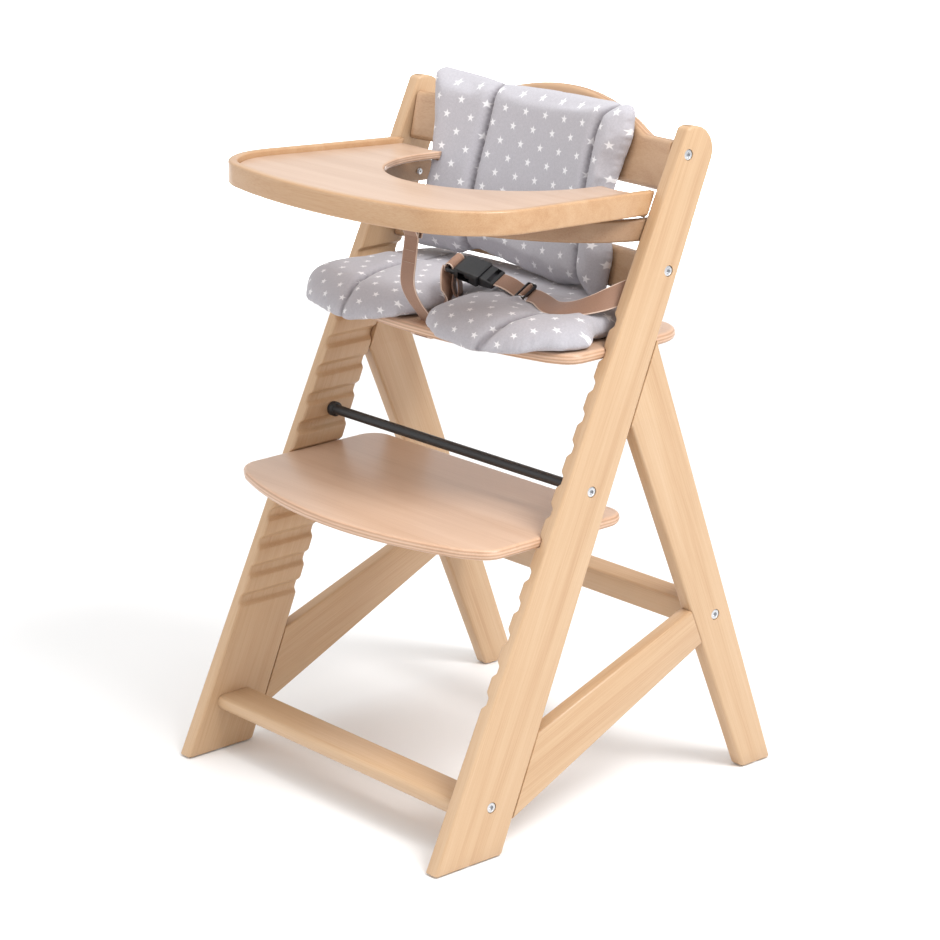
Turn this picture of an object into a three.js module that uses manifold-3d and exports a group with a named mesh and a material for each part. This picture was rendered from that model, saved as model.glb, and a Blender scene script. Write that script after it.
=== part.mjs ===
// A grow-along wooden high chair: two A-shaped side frames, a seat and a footrest that push into
// grooves, two curved back boards, a guard bow, a lift-off tray, cushions and a lap harness.
// Millimetres, +Z up, the sitter faces -Y, origin on the floor at the middle of the feet.
import * as THREE from "three";
import { mergeVertices } from "three/addons/utils/BufferGeometryUtils.js";
import Module from "manifold-3d";

const wasm = await Module();
wasm.setup();

// ---- overall and side frames ----
const WIDTH = 490; // over the outer faces of the side frames
const DEPTH = 513; // front tip of a front foot to the back tip of a rear foot
const LEG_TOP = 776; // top of the front legs
const FRAME_T = 19.3; // thickness of the side frame boards
const GLIDE_T = 2; // felt glide under each foot
const GLIDE_R = 8;
const FRONT_FOOT = 95.6; // front leg, front to back at the floor
const REAR_FOOT = 46.4;
const FRONT_LEAN = 0.4977; // front edge of the front leg, run per rise
const FRONT_BACK_LEAN = 0.4419; // its rear edge, so that the leg tapers upwards
const REAR_LEAN = 0.3747; // front edge of the rear leg, leaning the other way
const REAR_BACK_LEAN = 0.3241;
const TOP_ROUND = 29; // rear corner of the leg top
const TOP_NOSE = 8; // front corner of the leg top
const JOINT_GAP = 0.3; // glue line or touching faces
const WEB_W = 25; // harness webbing
const WEB_T = 1.6;
const BRACE_FRONT = [36.4, 128.7]; // heights of the brace edges at the front leg
const BRACE_REAR = [170.3, 213.9]; // and at the rear leg

// ---- grooves ----
const GROOVE_PITCH = 32.7;
const GROOVE_FIRST = 172.5; // height of the lowest groove's floor
const GROOVE_TOP = 564.9; // no groove is higher than this
const GROOVE_DEPTH = 5.6;
const GROOVE_LIP = 3; // rounding of a groove's lips
const SEAT_Z = 532.2; // heights of the two plates, each moved to its nearest groove
const FOOT_Z = 336;

// ---- plates ----
const PLATE_T = 12.5;
const PLATE_ROUND = 4;
const PLATE_GAP = 0.3; // all round a plate in its groove
const SEAT_FRONT = -0.5 * DEPTH + 189; // front edge at the middle, measured on Y
const SEAT_DEPTH = 212;
const FOOT_FRONT = -0.5 * DEPTH + 47;
const FOOT_DEPTH = DEPTH - 255;
const SEAT_ARC = 30; // how far the front corners fall back from the middle of the front edge
const FOOT_ARC = 50;
const PLATE_CORNER = 28;
const SEAT_REAR_CORNER = 44;
const SLOT_W = WEB_W + 9; // crotch strap slot
const SLOT_D = 8;
const SLOT_BACK = 22; // slot centre behind the seat's front edge

// ---- rails and rod ----
const RAIL_GAP = 0.3;
const FRONT_RAIL = [47, 18]; // depth and height of the front rail
const FRONT_RAIL_Z = 59.1;
const FRONT_RAIL_BACK = 6.5; // its bolt behind the middle of the leg
const FRONT_RAIL_AHEAD = 36; // front edge of the rail ahead of its bolts
const RAIL_ROUND = 3;
const RAIL_NOSE = 8; // rounding of the front rail's front edges
const REAR_RAIL = [22, 38];
const REAR_RAIL_Z = 200.8;
const REAR_RAIL_BACK = 4; // its bolt behind the middle of the leg
const ROD_R = 6;
const ROD_COLLAR_R = 9;
const ROD_COLLAR_L = 8;
const ROD_Z = 390.2;
const ROD_BACK = 5;

// ---- bolts ----
const BOLT_HEAD_R = 6;
const BOLT_HEAD_L = 3.4;
const BOLT_R = 3;
const BOLT_L = 30; // under the head
const BOLT_GAP = 0.35;
const BOLT_RECESS = 0.5; // how far a head sits below the wood
const SOCKET_R = 2.6; // hexagon socket, across corners / 2
const SOCKET_DEEP = 2;

// ---- back boards and bow ----
const BACK_LEAN = 0.249;
const BACK_T = 18;
const BACK_BOW = 36; // how far the middle of a board stands behind its ends
const UPPER_Z = 745.2; // bolt heights
const LOWER_Z = 619.8;
const UPPER_BEHIND = 14; // bolt behind the leg's front edge
const LOWER_BEHIND = 45.2;
const UPPER_EDGE = [-45, 13]; // lower and upper edge from the bolt, along the board
const LOWER_EDGE = [-34, 13];
const CROWN_H = 39; // crown above the upper board's ends
const CROWN_DEEP = 200; // length of the cutter that gives the crown its shape
const CROWN_HALF = 162;
const BOW_T = 12;
const BOW_H = 25;
const BOW_Z = 652; // bottom of the bow at its ends
const BOW_REACH = 161; // how far the bow stands forward of its tabs
const BOW_TAB = 40;
const BOW_TAB_BEHIND = 14; // front of a tab behind the leg's front edge
const BOW_SCREW_R = 4;
const BOW_SCREW_L = 2.9; // height of a screw head

// ---- tray ----
const TRAY_Z = 708; // top of the rim at the legs
const TRAY_TILT = 0.06; // rise per run, towards the front
const TRAY_HALF = 227; // half width at the legs
const TRAY_SPLAY = 0.052; // how much each side opens out per run
const TRAY_REACH = 309; // front of the rim ahead of the legs
const TRAY_FRONT_R = 681;
const TRAY_CORNER = 97;
const RIM_T = 11;
const RIM_H = 27;
const TRAY_DROP = 7; // board below the top of the rim
const TRAY_T = 9;
const CUTOUT_R = 140;
const CUTOUT_BACK = 23; // cut-out centre ahead of the tray's rear edge
const TRAY_GAP = 0.6; // rim ends to the legs
const CLIP = [16, 44, 4]; // tray clip: across, along, thick
const CLIP_BESIDE = 27.4; // its middle beyond the cut-out
const CLIP_BACK = 20; // ahead of the tray's rear edge

// ---- cushions ----
const SEAT_PAD_T = 20;
const SEAT_PAD_HALF = 214;
const SEAT_PAD_OVER = 20; // front edge of the pad ahead of the plate
const SEAT_PAD_D = 222;
const SEAT_SLIT = WEB_W + 15; // width of the slit for the crotch strap
const SEAT_SLIT_D = 96;
const SEAT_SLIT_R = 12;
const SEAT_PAD_ROUNDS = [60, 50]; // front corners, back corners
const SEAT_PAD_EDGE = 8;
const THROUGH = 10; // how far a cutter passes the piece it cuts
const PAD_GAP = 1;
const BACK_PAD_T = 24;
const BACK_PAD_HALF = 97; // half width of the middle panel
const BACK_PAD_WING = 76; // width of each side panel
const BACK_PAD = [-148, 41]; // lower and upper edge from the upper bolt
const BACK_PAD_TAIL = 22; // how much lower the side panels hang
const SEAM_GAP = 1;

// ---- harness ----
const WEB_SLOT = [2.8, 0.8]; // slot for webbing: its width, and the play past each edge
const SLOT_WALL = 2.2; // wall between a slot and the end of its moulding
const END_GAP = 0.3; // between touching pieces of webbing and plastic
const LOOP_GAP = 1; // webbing loop round the bow
const STRAP_LIFT = 0.5; // ends of the straps above the seat
const STRAP_SWING = [3, 6, 9, -6, -2]; // front strap ahead of the bow, then from the slot
const STRAP_FALL = [5, 25, 60, 22]; // front strap below the bow, then above the seat
const REAR_SWING = [2, 8, -7, -6]; // rear strap from the slot, then from the bar
const REAR_RISE = [16, 30, 18]; // rear strap above the seat, then below the bar
const ANCHOR_NECK = [WEB_W + 5, 4, 2]; // webbing through the slot: width, depth, below the seat
const ANCHOR_PLATE = [WEB_W + 15, 28, 3.6]; // its knot under the seat: width, depth, thickness
const ANCHOR_GAP = 0.4;
const BUCKLE_FROM_SLOT = [33.3, 54.9, 49.6]; // open mouth of the socket from the seat slot
const BUCKLE_ALONG = [0.88, 0.34, -0.25]; // from the socket to the plug
const BUCKLE_FACE = [0.1, -0.28, 0.95]; // roughly out of its face
const SOCKET = [34, WEB_W + 11, 14]; // length, width, thickness
const SOCKET_ROUNDS = [5, 2]; // corners at its back, corners at its mouth
const SOCKET_BACK = 5; // solid back of the socket
const SHELL = 2;
const WINDOW = [8, 13]; // side windows: from the back, length
const BAR_FRAME = [8, 4]; // frame behind the socket for the strap: length, thickness
const BAR_SLOT = [3, 3.5, 1]; // its slot: from the bar's outer edge, length, end play
const PLUG = [18, WEB_W + 5, 11];
const TONGUE = [18, 7, 5];
const PRONG = [20, 3.6, 5];
const PRONG_INSET = 1.4; // latches in from the edges of the plug
const PLUG_GAP = 0.4; // plug to socket when it is pressed home
const PLUG_TRAVEL = 20;
const SLIDER = [12, WEB_W + 6, 5];
const SLIDER_AWAY = 30; // plug to slider
const SLIDER_RIM = 2;
const WAIST_LEVEL = 3; // waist strap above the seat cushion
const WAIST_BOW = [12, 6]; // how far it bows back in its middle, and at the leg
const TAIL = [4, 18, 9]; // loose loop at the buckle: thick, wide, tall
const TAIL_AT = [2, 6, 20.5]; // beside the strap, behind the bar, below the bar

const outerX = WIDTH / 2;
const innerX = outerX - FRAME_T;
const frontY = -DEPTH / 2;
const legFront = (z) => frontY + FRONT_LEAN * z;
const legBack = (z) => frontY + FRONT_FOOT + FRONT_BACK_LEAN * z;
const rearBack = (z) => frontY + DEPTH - REAR_BACK_LEAN * z;
const rearFront = (z) => frontY + DEPTH - REAR_FOOT - REAR_LEAN * z;
const grooveZ = (i) => GROOVE_FIRST + GROOVE_PITCH * i;
const grooveCount = Math.floor((GROOVE_TOP - GROOVE_FIRST) / GROOVE_PITCH + 1e-6) + 1;
const grooveNear = (z) => grooveZ(Math.round((z - GROOVE_FIRST) / GROOVE_PITCH));
const seatZ = grooveNear(SEAT_Z);
const footZ = grooveNear(FOOT_Z);

const beech = { color: 0xe2bd8b, roughness: 0.42, metalness: 0 };
const beechPly = { color: 0xd9ad82, roughness: 0.38, metalness: 0 };
const zinc = { color: 0xb9bcc0, roughness: 0.32, metalness: 1 };
const blackMetal = { color: 0x1c1c1e, roughness: 0.45, metalness: 0.6 };
const blackPlastic = { color: 0x18181a, roughness: 0.4, metalness: 0 };
const greyCloth = { color: 0xbab6be, roughness: 0.95, metalness: 0 };
const webbing = { color: 0x9a7663, roughness: 0.85, metalness: 0 };
const feltGrey = { color: 0xcfccc8, roughness: 0.95, metalness: 0 };

// Everything is built from the underside of the wooden feet, which stand on their glides.
const chair = new THREE.Group();
chair.position.z = GLIDE_T;

// ---- solids ----
function solidOf(geometry, matrix) {
  const bare = geometry.index ? geometry.toNonIndexed() : geometry.clone();
  bare.deleteAttribute("normal");
  bare.deleteAttribute("uv");
  if (matrix) bare.applyMatrix4(matrix);
  const merged = mergeVertices(bare, 1e-4);
  return new wasm.Manifold(
    new wasm.Mesh({
      numProp: 3,
      vertProperties: merged.attributes.position.array,
      triVerts: new Uint32Array(merged.index.array),
    }),
  );
}

function addNode(name, solid, look, parent = chair) {
  const mesh = solid.getMesh();
  const geometry = new THREE.BufferGeometry();
  geometry.setAttribute("position", new THREE.BufferAttribute(mesh.vertProperties, 3));
  geometry.setIndex(new THREE.BufferAttribute(mesh.triVerts, 1));
  geometry.computeVertexNormals();
  const node = new THREE.Mesh(geometry, new THREE.MeshStandardMaterial(look));
  node.name = name;
  parent.add(node);
  return node;
}

// A closed outline through corner points [a, b, radius], with each corner rounded.
function outline(corners, steps = 6) {
  const points = [];
  const n = corners.length;
  for (let i = 0; i < n; i++) {
    const at = new THREE.Vector2(corners[i][0], corners[i][1]);
    const radius = corners[i][2] || 0;
    if (!radius) {
      points.push(at);
      continue;
    }
    const before = corners[(i + n - 1) % n];
    const after = corners[(i + 1) % n];
    const back = new THREE.Vector2(before[0], before[1]).sub(at).normalize();
    const ahead = new THREE.Vector2(after[0], after[1]).sub(at).normalize();
    const half = Math.acos(back.dot(ahead)) / 2;
    const start = at.clone().addScaledVector(back, radius / Math.tan(half));
    const end = at.clone().addScaledVector(ahead, radius / Math.tan(half));
    const middle = at.clone().addScaledVector(back.clone().add(ahead).normalize(), radius / Math.sin(half));
    const from = Math.atan2(start.y - middle.y, start.x - middle.x);
    let turn = Math.atan2(end.y - middle.y, end.x - middle.x) - from;
    if (turn > Math.PI) turn -= 2 * Math.PI;
    if (turn < -Math.PI) turn += 2 * Math.PI;
    for (let k = 0; k <= steps; k++) {
      const a = from + (turn * k) / steps;
      points.push(new THREE.Vector2(middle.x + radius * Math.cos(a), middle.y + radius * Math.sin(a)));
    }
  }
  return points;
}

// An outline in Y and Z, from x0 to x1.
const alongX = new THREE.Matrix4().makeBasis(
  new THREE.Vector3(0, 1, 0),
  new THREE.Vector3(0, 0, 1),
  new THREE.Vector3(1, 0, 0),
);
function sideSolid(points, x0, x1) {
  const geometry = new THREE.ExtrudeGeometry(new THREE.Shape(points), {
    depth: x1 - x0,
    bevelEnabled: false,
  });
  return solidOf(geometry, new THREE.Matrix4().makeTranslation(x0, 0, 0).multiply(alongX));
}

// An outline in X and Y, from z0 up by height, with its edges rounded when round is given.
function flatSolid(points, z0, height, round = 0, steps = 3) {
  const geometry = new THREE.ExtrudeGeometry(new THREE.Shape(points), {
    depth: height - 2 * round,
    bevelEnabled: round > 0,
    bevelThickness: round,
    bevelSize: round,
    bevelOffset: -round,
    bevelSegments: steps,
  });
  return solidOf(geometry, new THREE.Matrix4().makeTranslation(0, 0, z0 + round));
}

function boxSolid(low, high) {
  const size = [0, 1, 2].map((k) => high[k] - low[k]);
  const middle = [0, 1, 2].map((k) => (high[k] + low[k]) / 2);
  return solidOf(new THREE.BoxGeometry(...size), new THREE.Matrix4().makeTranslation(...middle));
}

// A cylinder along X.
function rodSolid(radius, x0, x1, y, z, sides = 24) {
  const geometry = new THREE.CylinderGeometry(radius, radius, Math.abs(x1 - x0), sides);
  const turn = new THREE.Matrix4().makeRotationZ(Math.PI / 2);
  return solidOf(geometry, new THREE.Matrix4().makeTranslation((x0 + x1) / 2, y, z).multiply(turn));
}

// A flat band of the given thickness that follows a path in (u, v) and is width wide across it.
function bandOutline(path, thickness) {
  const left = [];
  const right = [];
  for (let i = 0; i < path.length; i++) {
    const a = path[Math.max(i - 1, 0)];
    const b = path[Math.min(i + 1, path.length - 1)];
    const along = new THREE.Vector2(b.x - a.x, b.y - a.y).normalize();
    const side = new THREE.Vector2(-along.y, along.x).multiplyScalar(thickness / 2);
    left.push(path[i].clone().add(side));
    right.push(path[i].clone().sub(side));
  }
  return [...left, ...right.reverse()];
}

const mirrorX = new THREE.Matrix4().makeScale(-1, 1, 1);
function mirrored(solid) {
  const mesh = solid.getMesh();
  const geometry = new THREE.BufferGeometry();
  geometry.setAttribute("position", new THREE.BufferAttribute(mesh.vertProperties, 3));
  geometry.setIndex(new THREE.BufferAttribute(mesh.triVerts, 1));
  geometry.applyMatrix4(mirrorX);
  const index = geometry.index.array;
  for (let i = 0; i < index.length; i += 3) {
    [index[i + 1], index[i + 2]] = [index[i + 2], index[i + 1]];
  }
  return solidOf(geometry);
}

// Adds NAME_right on +X and its mirror image NAME_left.
function addPair(name, solid, look) {
  addNode(`${name}_right`, solid, look);
  addNode(`${name}_left`, mirrored(solid), look);
}

// ---- bolts: where they are, and the holes that they need ----
const backAngle = Math.atan(BACK_LEAN);
const boltPlaces = {
  upper_back: [legFront(UPPER_Z) + UPPER_BEHIND, UPPER_Z],
  lower_back: [legFront(LOWER_Z) + LOWER_BEHIND, LOWER_Z],
  rod: [(legFront(ROD_Z) + legBack(ROD_Z)) / 2 + ROD_BACK, ROD_Z],
  front_rail: [
    (legFront(FRONT_RAIL_Z) + legBack(FRONT_RAIL_Z)) / 2 + FRONT_RAIL_BACK,
    FRONT_RAIL_Z,
  ],
  rear_rail: [(rearFront(REAR_RAIL_Z) + rearBack(REAR_RAIL_Z)) / 2 + REAR_RAIL_BACK, REAR_RAIL_Z],
};
const headTop = outerX - BOLT_RECESS;
const shankEnd = headTop - BOLT_HEAD_L - BOLT_L;

function boltHole([y, z]) {
  const under = headTop - BOLT_HEAD_L - BOLT_GAP;
  const shank = rodSolid(BOLT_R + BOLT_GAP, shankEnd - BOLT_GAP, outerX + 1, y, z, 16);
  return shank.add(rodSolid(BOLT_HEAD_R + BOLT_GAP, under, outerX + 1, y, z, 24));
}

function boltSolid([y, z]) {
  const head = rodSolid(BOLT_HEAD_R, headTop - BOLT_HEAD_L, headTop, y, z, 24);
  const shank = rodSolid(BOLT_R, shankEnd, headTop - BOLT_HEAD_L + 1, y, z, 16);
  return head.add(shank).subtract(rodSolid(SOCKET_R, headTop - SOCKET_DEEP, headTop + 1, y, z, 6));
}

// ---- front legs ----
function frontLeg() {
  let leg = sideSolid(
    outline([
      [legFront(0), 0, 0],
      [legBack(0), 0, 5],
      [legBack(LEG_TOP), LEG_TOP, TOP_ROUND],
      [legFront(LEG_TOP), LEG_TOP, TOP_NOSE],
    ], 7),
    innerX,
    outerX,
  );
  for (let i = 0; i < grooveCount; i++) leg = leg.subtract(groove(grooveZ(i)));
  for (const name of ["upper_back", "lower_back", "rod", "front_rail"]) {
    leg = leg.subtract(boltHole(boltPlaces[name]));
  }
  return leg;
}

// One groove: a channel along Y with rounded lips, as deep as a plate's edge needs.
function groove(z) {
  const middle = z + PLATE_T / 2;
  const half = PLATE_T / 2 + PLATE_GAP;
  const side = [
    [GROOVE_DEPTH, half - PLATE_ROUND],
    [GROOVE_DEPTH - 1, half - 1.4],
    [GROOVE_DEPTH - 2.6, half],
    [GROOVE_DEPTH - 4, half + 0.5],
    [0.5, half + GROOVE_LIP / 2],
    [-0.02, half + GROOVE_LIP],
    [-2, half + GROOVE_LIP],
  ];
  const points = [
    ...side.map(([d, h]) => new THREE.Vector2(innerX + d, middle + h)),
    ...side.reverse().map(([d, h]) => new THREE.Vector2(innerX + d, middle - h)),
  ];
  const length = (legBack(z) - legFront(z)) + 60;
  const geometry = new THREE.ExtrudeGeometry(new THREE.Shape(points), {
    depth: length,
    bevelEnabled: false,
  });
  const upright = new THREE.Matrix4().makeBasis(
    new THREE.Vector3(1, 0, 0),
    new THREE.Vector3(0, 0, 1),
    new THREE.Vector3(0, -1, 0),
  );
  const start = legBack(z) + 30;
  return solidOf(geometry, new THREE.Matrix4().makeTranslation(0, start, 0).multiply(upright));
}
addPair("front_leg", frontLeg(), beech);

// ---- rear legs and braces ----
// Height where an edge of the rear leg meets the rear edge of the front leg.
const meetZ = (lean, foot) => (DEPTH - foot - FRONT_FOOT) / (lean + FRONT_BACK_LEAN);
function rearLeg() {
  const low = meetZ(REAR_LEAN, REAR_FOOT);
  const high = meetZ(REAR_BACK_LEAN, 0);
  const body = sideSolid(
    outline([
      [rearFront(0), 0, 0],
      [rearBack(0), 0, 0],
      [legBack(high) + JOINT_GAP, high, 0],
      [legBack(low) + JOINT_GAP, low, 0],
    ]),
    innerX,
    outerX,
  );
  return body.subtract(boltHole(boltPlaces.rear_rail)).subtract(groove(seatZ));
}
addPair("rear_leg", rearLeg(), beech);

function brace() {
  return sideSolid(
    outline([
      [legBack(BRACE_FRONT[0]) + JOINT_GAP, BRACE_FRONT[0], 0],
      [rearFront(BRACE_REAR[0]) - JOINT_GAP, BRACE_REAR[0], 0],
      [rearFront(BRACE_REAR[1]) - JOINT_GAP, BRACE_REAR[1], 0],
      [legBack(BRACE_FRONT[1]) + JOINT_GAP, BRACE_FRONT[1], 0],
    ]),
    innerX,
    outerX,
  );
}
addPair("brace", brace(), beech);

// ---- glides ----
for (const [name, y] of [
  ["front_glide", (legFront(0) + legBack(0)) / 2],
  ["rear_glide", (rearFront(0) + rearBack(0)) / 2],
]) {
  const disc = new THREE.CylinderGeometry(GLIDE_R, GLIDE_R, GLIDE_T, 24);
  const place = new THREE.Matrix4()
    .makeTranslation((outerX + innerX) / 2, y, -GLIDE_T / 2)
    .multiply(new THREE.Matrix4().makeRotationX(Math.PI / 2));
  addPair(name, solidOf(disc, place), feltGrey);
}

// ---- rails, rod and bolts ----
const railHalf = innerX - RAIL_GAP;
function bothHoles(solid, place) {
  const hole = boltHole(place);
  return solid.subtract(hole).subtract(mirrored(hole));
}

function frontRail() {
  const [y, z] = boltPlaces.front_rail;
  const [d, h] = FRONT_RAIL;
  const y0 = y - FRONT_RAIL_AHEAD;
  const section = outline([
    [y0, z - h / 2, RAIL_NOSE],
    [y0 + d, z - h / 2, RAIL_ROUND],
    [y0 + d, z + h / 2, RAIL_ROUND],
    [y0, z + h / 2, RAIL_NOSE],
  ], 4);
  return bothHoles(sideSolid(section, -railHalf, railHalf), boltPlaces.front_rail);
}
addNode("front_rail", frontRail(), beech);

function rearRail() {
  const [y, z] = boltPlaces.rear_rail;
  const [d, h] = REAR_RAIL;
  const tilt = Math.atan(REAR_LEAN);
  const turned = (a, b) => [
    y - REAR_RAIL_BACK + a * Math.cos(tilt) - b * Math.sin(tilt),
    z + a * Math.sin(tilt) + b * Math.cos(tilt),
    RAIL_ROUND,
  ];
  const section = outline([
    turned(-d / 2, -h / 2),
    turned(d / 2, -h / 2),
    turned(d / 2, h / 2),
    turned(-d / 2, h / 2),
  ], 3);
  return bothHoles(sideSolid(section, -railHalf, railHalf), boltPlaces.rear_rail);
}
addNode("rear_rail", rearRail(), beech);

const collarIn = railHalf - ROD_COLLAR_L;
const [rodY, rodZ] = boltPlaces.rod;
const rod = rodSolid(ROD_R, -collarIn + JOINT_GAP, collarIn - JOINT_GAP, rodY, rodZ, 24);
addNode("tie_rod", bothHoles(rod, boltPlaces.rod), blackMetal);
const collar = rodSolid(ROD_COLLAR_R, collarIn, railHalf, rodY, rodZ, 24);
addPair("rod_collar", collar.subtract(boltHole(boltPlaces.rod)), blackMetal);

for (const [name, place] of Object.entries(boltPlaces)) {
  addPair(`${name}_bolt`, boltSolid(place), zinc);
}

// ---- back boards: bent in plan, leaning back ----
// A point of the board: x across, n behind the plane through the bolts, u up along the board.
const boardBow = (x) => BACK_BOW * (1 - (x / innerX) ** 2);
function boardFrame([y, z]) {
  const c = Math.cos(backAngle);
  const s = Math.sin(backAngle);
  return new THREE.Matrix4().set(1, 0, 0, 0, 0, c, s, y, 0, -s, c, z, 0, 0, 0, 1);
}

// A bent slab in a board's own frame, from x0 to x1 and from n0 to n1 off the bent surface.
function bentSlab(x0, x1, n0, n1, low, high, steps) {
  const near = [];
  const far = [];
  for (let i = 0; i <= steps; i++) {
    const x = x0 + ((x1 - x0) * i) / steps;
    near.push(new THREE.Vector2(x, boardBow(x) + n0));
    far.push(new THREE.Vector2(x, boardBow(x) + n1));
  }
  return flatSolid([...near, ...far.reverse()], low, high - low);
}

// The upper edge of the upper board in X and U, closed well below its lower edge.
function crownCut(low, high) {
  const past = innerX + THROUGH;
  const below = low - THROUGH;
  const points = [new THREE.Vector2(past, below), new THREE.Vector2(past, high)];
  const steps = 22;
  for (let i = 0; i <= steps; i++) {
    const x = CROWN_HALF * Math.cos((Math.PI * i) / steps);
    const rise = CROWN_H * (1 - (x / CROWN_HALF) ** 2) ** 1.1;
    points.push(new THREE.Vector2(x, high + rise));
  }
  points.push(new THREE.Vector2(-past, high), new THREE.Vector2(-past, below));
  const geometry = new THREE.ExtrudeGeometry(new THREE.Shape(points), {
    depth: CROWN_DEEP,
    bevelEnabled: false,
  });
  const upright = new THREE.Matrix4().makeBasis(
    new THREE.Vector3(1, 0, 0),
    new THREE.Vector3(0, 0, 1),
    new THREE.Vector3(0, -1, 0),
  );
  return solidOf(geometry, new THREE.Matrix4().makeTranslation(0, CROWN_DEEP / 2, 0).multiply(upright));
}

function placed(solid, matrix) {
  const mesh = solid.getMesh();
  const geometry = new THREE.BufferGeometry();
  geometry.setAttribute("position", new THREE.BufferAttribute(mesh.vertProperties, 3));
  geometry.setIndex(new THREE.BufferAttribute(mesh.triVerts, 1));
  return solidOf(geometry, matrix);
}

const [upLow, upHigh] = UPPER_EDGE;
const upperBlank = bentSlab(-railHalf, railHalf, -BACK_T / 2, BACK_T / 2, upLow, upHigh + CROWN_H, 24);
const upperShape = upperBlank.intersect(crownCut(upLow, upHigh));
const upperBoard = placed(upperShape, boardFrame(boltPlaces.upper_back));
addNode("upper_back_board", bothHoles(upperBoard, boltPlaces.upper_back), beechPly);
const lowerBlank = bentSlab(-railHalf, railHalf, -BACK_T / 2, BACK_T / 2, ...LOWER_EDGE, 24);
const lowerBoard = placed(lowerBlank, boardFrame(boltPlaces.lower_back));
addNode("lower_back_board", bothHoles(lowerBoard, boltPlaces.lower_back), beechPly);

// ---- guard bow: two tabs on the inner faces and half an ellipse between them ----
const trayTurn = Math.atan(TRAY_TILT);
const bowHalf = innerX - JOINT_GAP - BOW_T / 2;
const bowTabY = legFront(BOW_Z + BOW_H) + BOW_TAB_BEHIND;
const tilted = new THREE.Matrix4()
  .makeTranslation(0, bowTabY, BOW_Z)
  .multiply(new THREE.Matrix4().makeRotationX(-trayTurn));
function bowSolid() {
  const path = [new THREE.Vector2(bowHalf, BOW_TAB)];
  const steps = 28;
  for (let i = 0; i <= steps; i++) {
    const a = (Math.PI * i) / steps;
    path.push(new THREE.Vector2(bowHalf * Math.cos(a), -BOW_REACH * Math.sin(a)));
  }
  path.push(new THREE.Vector2(-bowHalf, BOW_TAB));
  const band = placed(flatSolid(bandOutline(path, BOW_T), 0, BOW_H), tilted);
  const hole = rodSolid(BOLT_R + BOLT_GAP, bowHalf - BOW_T, innerX + 9, bowScrew[0], bowScrew[1], 16);
  return band.subtract(hole).subtract(mirrored(hole));
}
const bowScrew = [bowTabY + BOW_TAB / 2, BOW_Z + BOW_H / 2 - TRAY_TILT * (BOW_TAB / 2)];
addNode("guard_bow", bowSolid(), beechPly);
const screwUnder = bowHalf - BOW_T / 2 - JOINT_GAP;
const screwHead = rodSolid(BOW_SCREW_R, screwUnder - BOW_SCREW_L, screwUnder, ...bowScrew, 20);
const screwShank = rodSolid(BOLT_R, screwUnder - 1, bowHalf + BOW_T / 2, ...bowScrew, 16);
addPair("bow_screw", screwHead.add(screwShank), zinc);

// ---- seat and footrest plates ----
// A plate with a curved front edge, in plan; the sides run straight in the grooves.
const plateHalf = innerX + GROOVE_DEPTH - PLATE_GAP;
function plateOutline(front, depth, arc, rearCorner) {
  const sideFront = front + arc;
  const radius = (plateHalf ** 2 + arc ** 2) / (2 * arc);
  const points = [];
  const steps = 14;
  const spread = Math.asin(plateHalf / radius) * 0.86;
  for (let i = 0; i <= steps; i++) {
    const a = -spread + (2 * spread * i) / steps;
    points.push([radius * Math.sin(a), front + radius * (1 - Math.cos(a)), 0]);
  }
  const corners = [
    ...points,
    [plateHalf, sideFront + 6, PLATE_CORNER],
    [plateHalf, front + depth, rearCorner],
    [-plateHalf, front + depth, rearCorner],
    [-plateHalf, sideFront + 6, PLATE_CORNER],
  ];
  return outline(corners, 5);
}

const slotY = SEAT_FRONT + SLOT_BACK;
const seatShape = plateOutline(SEAT_FRONT, SEAT_DEPTH, SEAT_ARC, SEAT_REAR_CORNER);
const seatBlank = flatSolid(seatShape, seatZ, PLATE_T, PLATE_ROUND);
const slot = boxSolid(
  [-SLOT_W / 2, slotY - SLOT_D / 2, seatZ - 1],
  [SLOT_W / 2, slotY + SLOT_D / 2, seatZ + PLATE_T + 1],
);
addNode("seat_plate", seatBlank.subtract(slot), beechPly);
addNode(
  "footrest_plate",
  flatSolid(plateOutline(FOOT_FRONT, FOOT_DEPTH, FOOT_ARC, PLATE_CORNER), footZ, PLATE_T, PLATE_ROUND),
  beechPly,
);

// ---- tray: a bent rim round a plywood board, in the tray's own tilted frame ----
const trayY = legFront(TRAY_Z);
const trayFrame = new THREE.Matrix4()
  .makeTranslation(0, trayY, TRAY_Z)
  .multiply(new THREE.Matrix4().makeRotationX(-trayTurn));

// Half width of the tray and where its side, corner and front arcs meet, drawn inset by inset.
function trayOutline(inset, rear) {
  const cosine = 1 / Math.hypot(1, TRAY_SPLAY);
  const sideX = (y) => TRAY_HALF - TRAY_SPLAY * y - inset / cosine;
  const centre = -TRAY_REACH + TRAY_FRONT_R;
  const corner = TRAY_CORNER - inset;
  let low = -TRAY_REACH;
  let high = 0;
  for (let i = 0; i < 50; i++) {
    const y = (low + high) / 2;
    const x = sideX(y) - corner / cosine;
    if (Math.hypot(x, y - centre) > TRAY_FRONT_R - TRAY_CORNER) low = y;
    else high = y;
  }
  const cornerY = low;
  const cornerX = sideX(cornerY) - corner / cosine;
  const start = Math.atan2(TRAY_SPLAY, 1);
  const end = Math.atan2(cornerY - centre, cornerX);
  const half = [new THREE.Vector2(sideX(rear), rear)];
  for (let i = 0; i <= 10; i++) {
    const a = start + ((end - start) * i) / 10;
    half.push(new THREE.Vector2(cornerX + corner * Math.cos(a), cornerY + corner * Math.sin(a)));
  }
  for (let i = 1; i <= 8; i++) {
    const a = end + ((-Math.PI / 2 - end) * i) / 8;
    half.push(
      new THREE.Vector2((TRAY_FRONT_R - inset) * Math.cos(a), centre + (TRAY_FRONT_R - inset) * Math.sin(a)),
    );
  }
  const other = half.slice(0, -1).reverse().map((p) => new THREE.Vector2(-p.x, p.y));
  return [...half, ...other];
}

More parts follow.
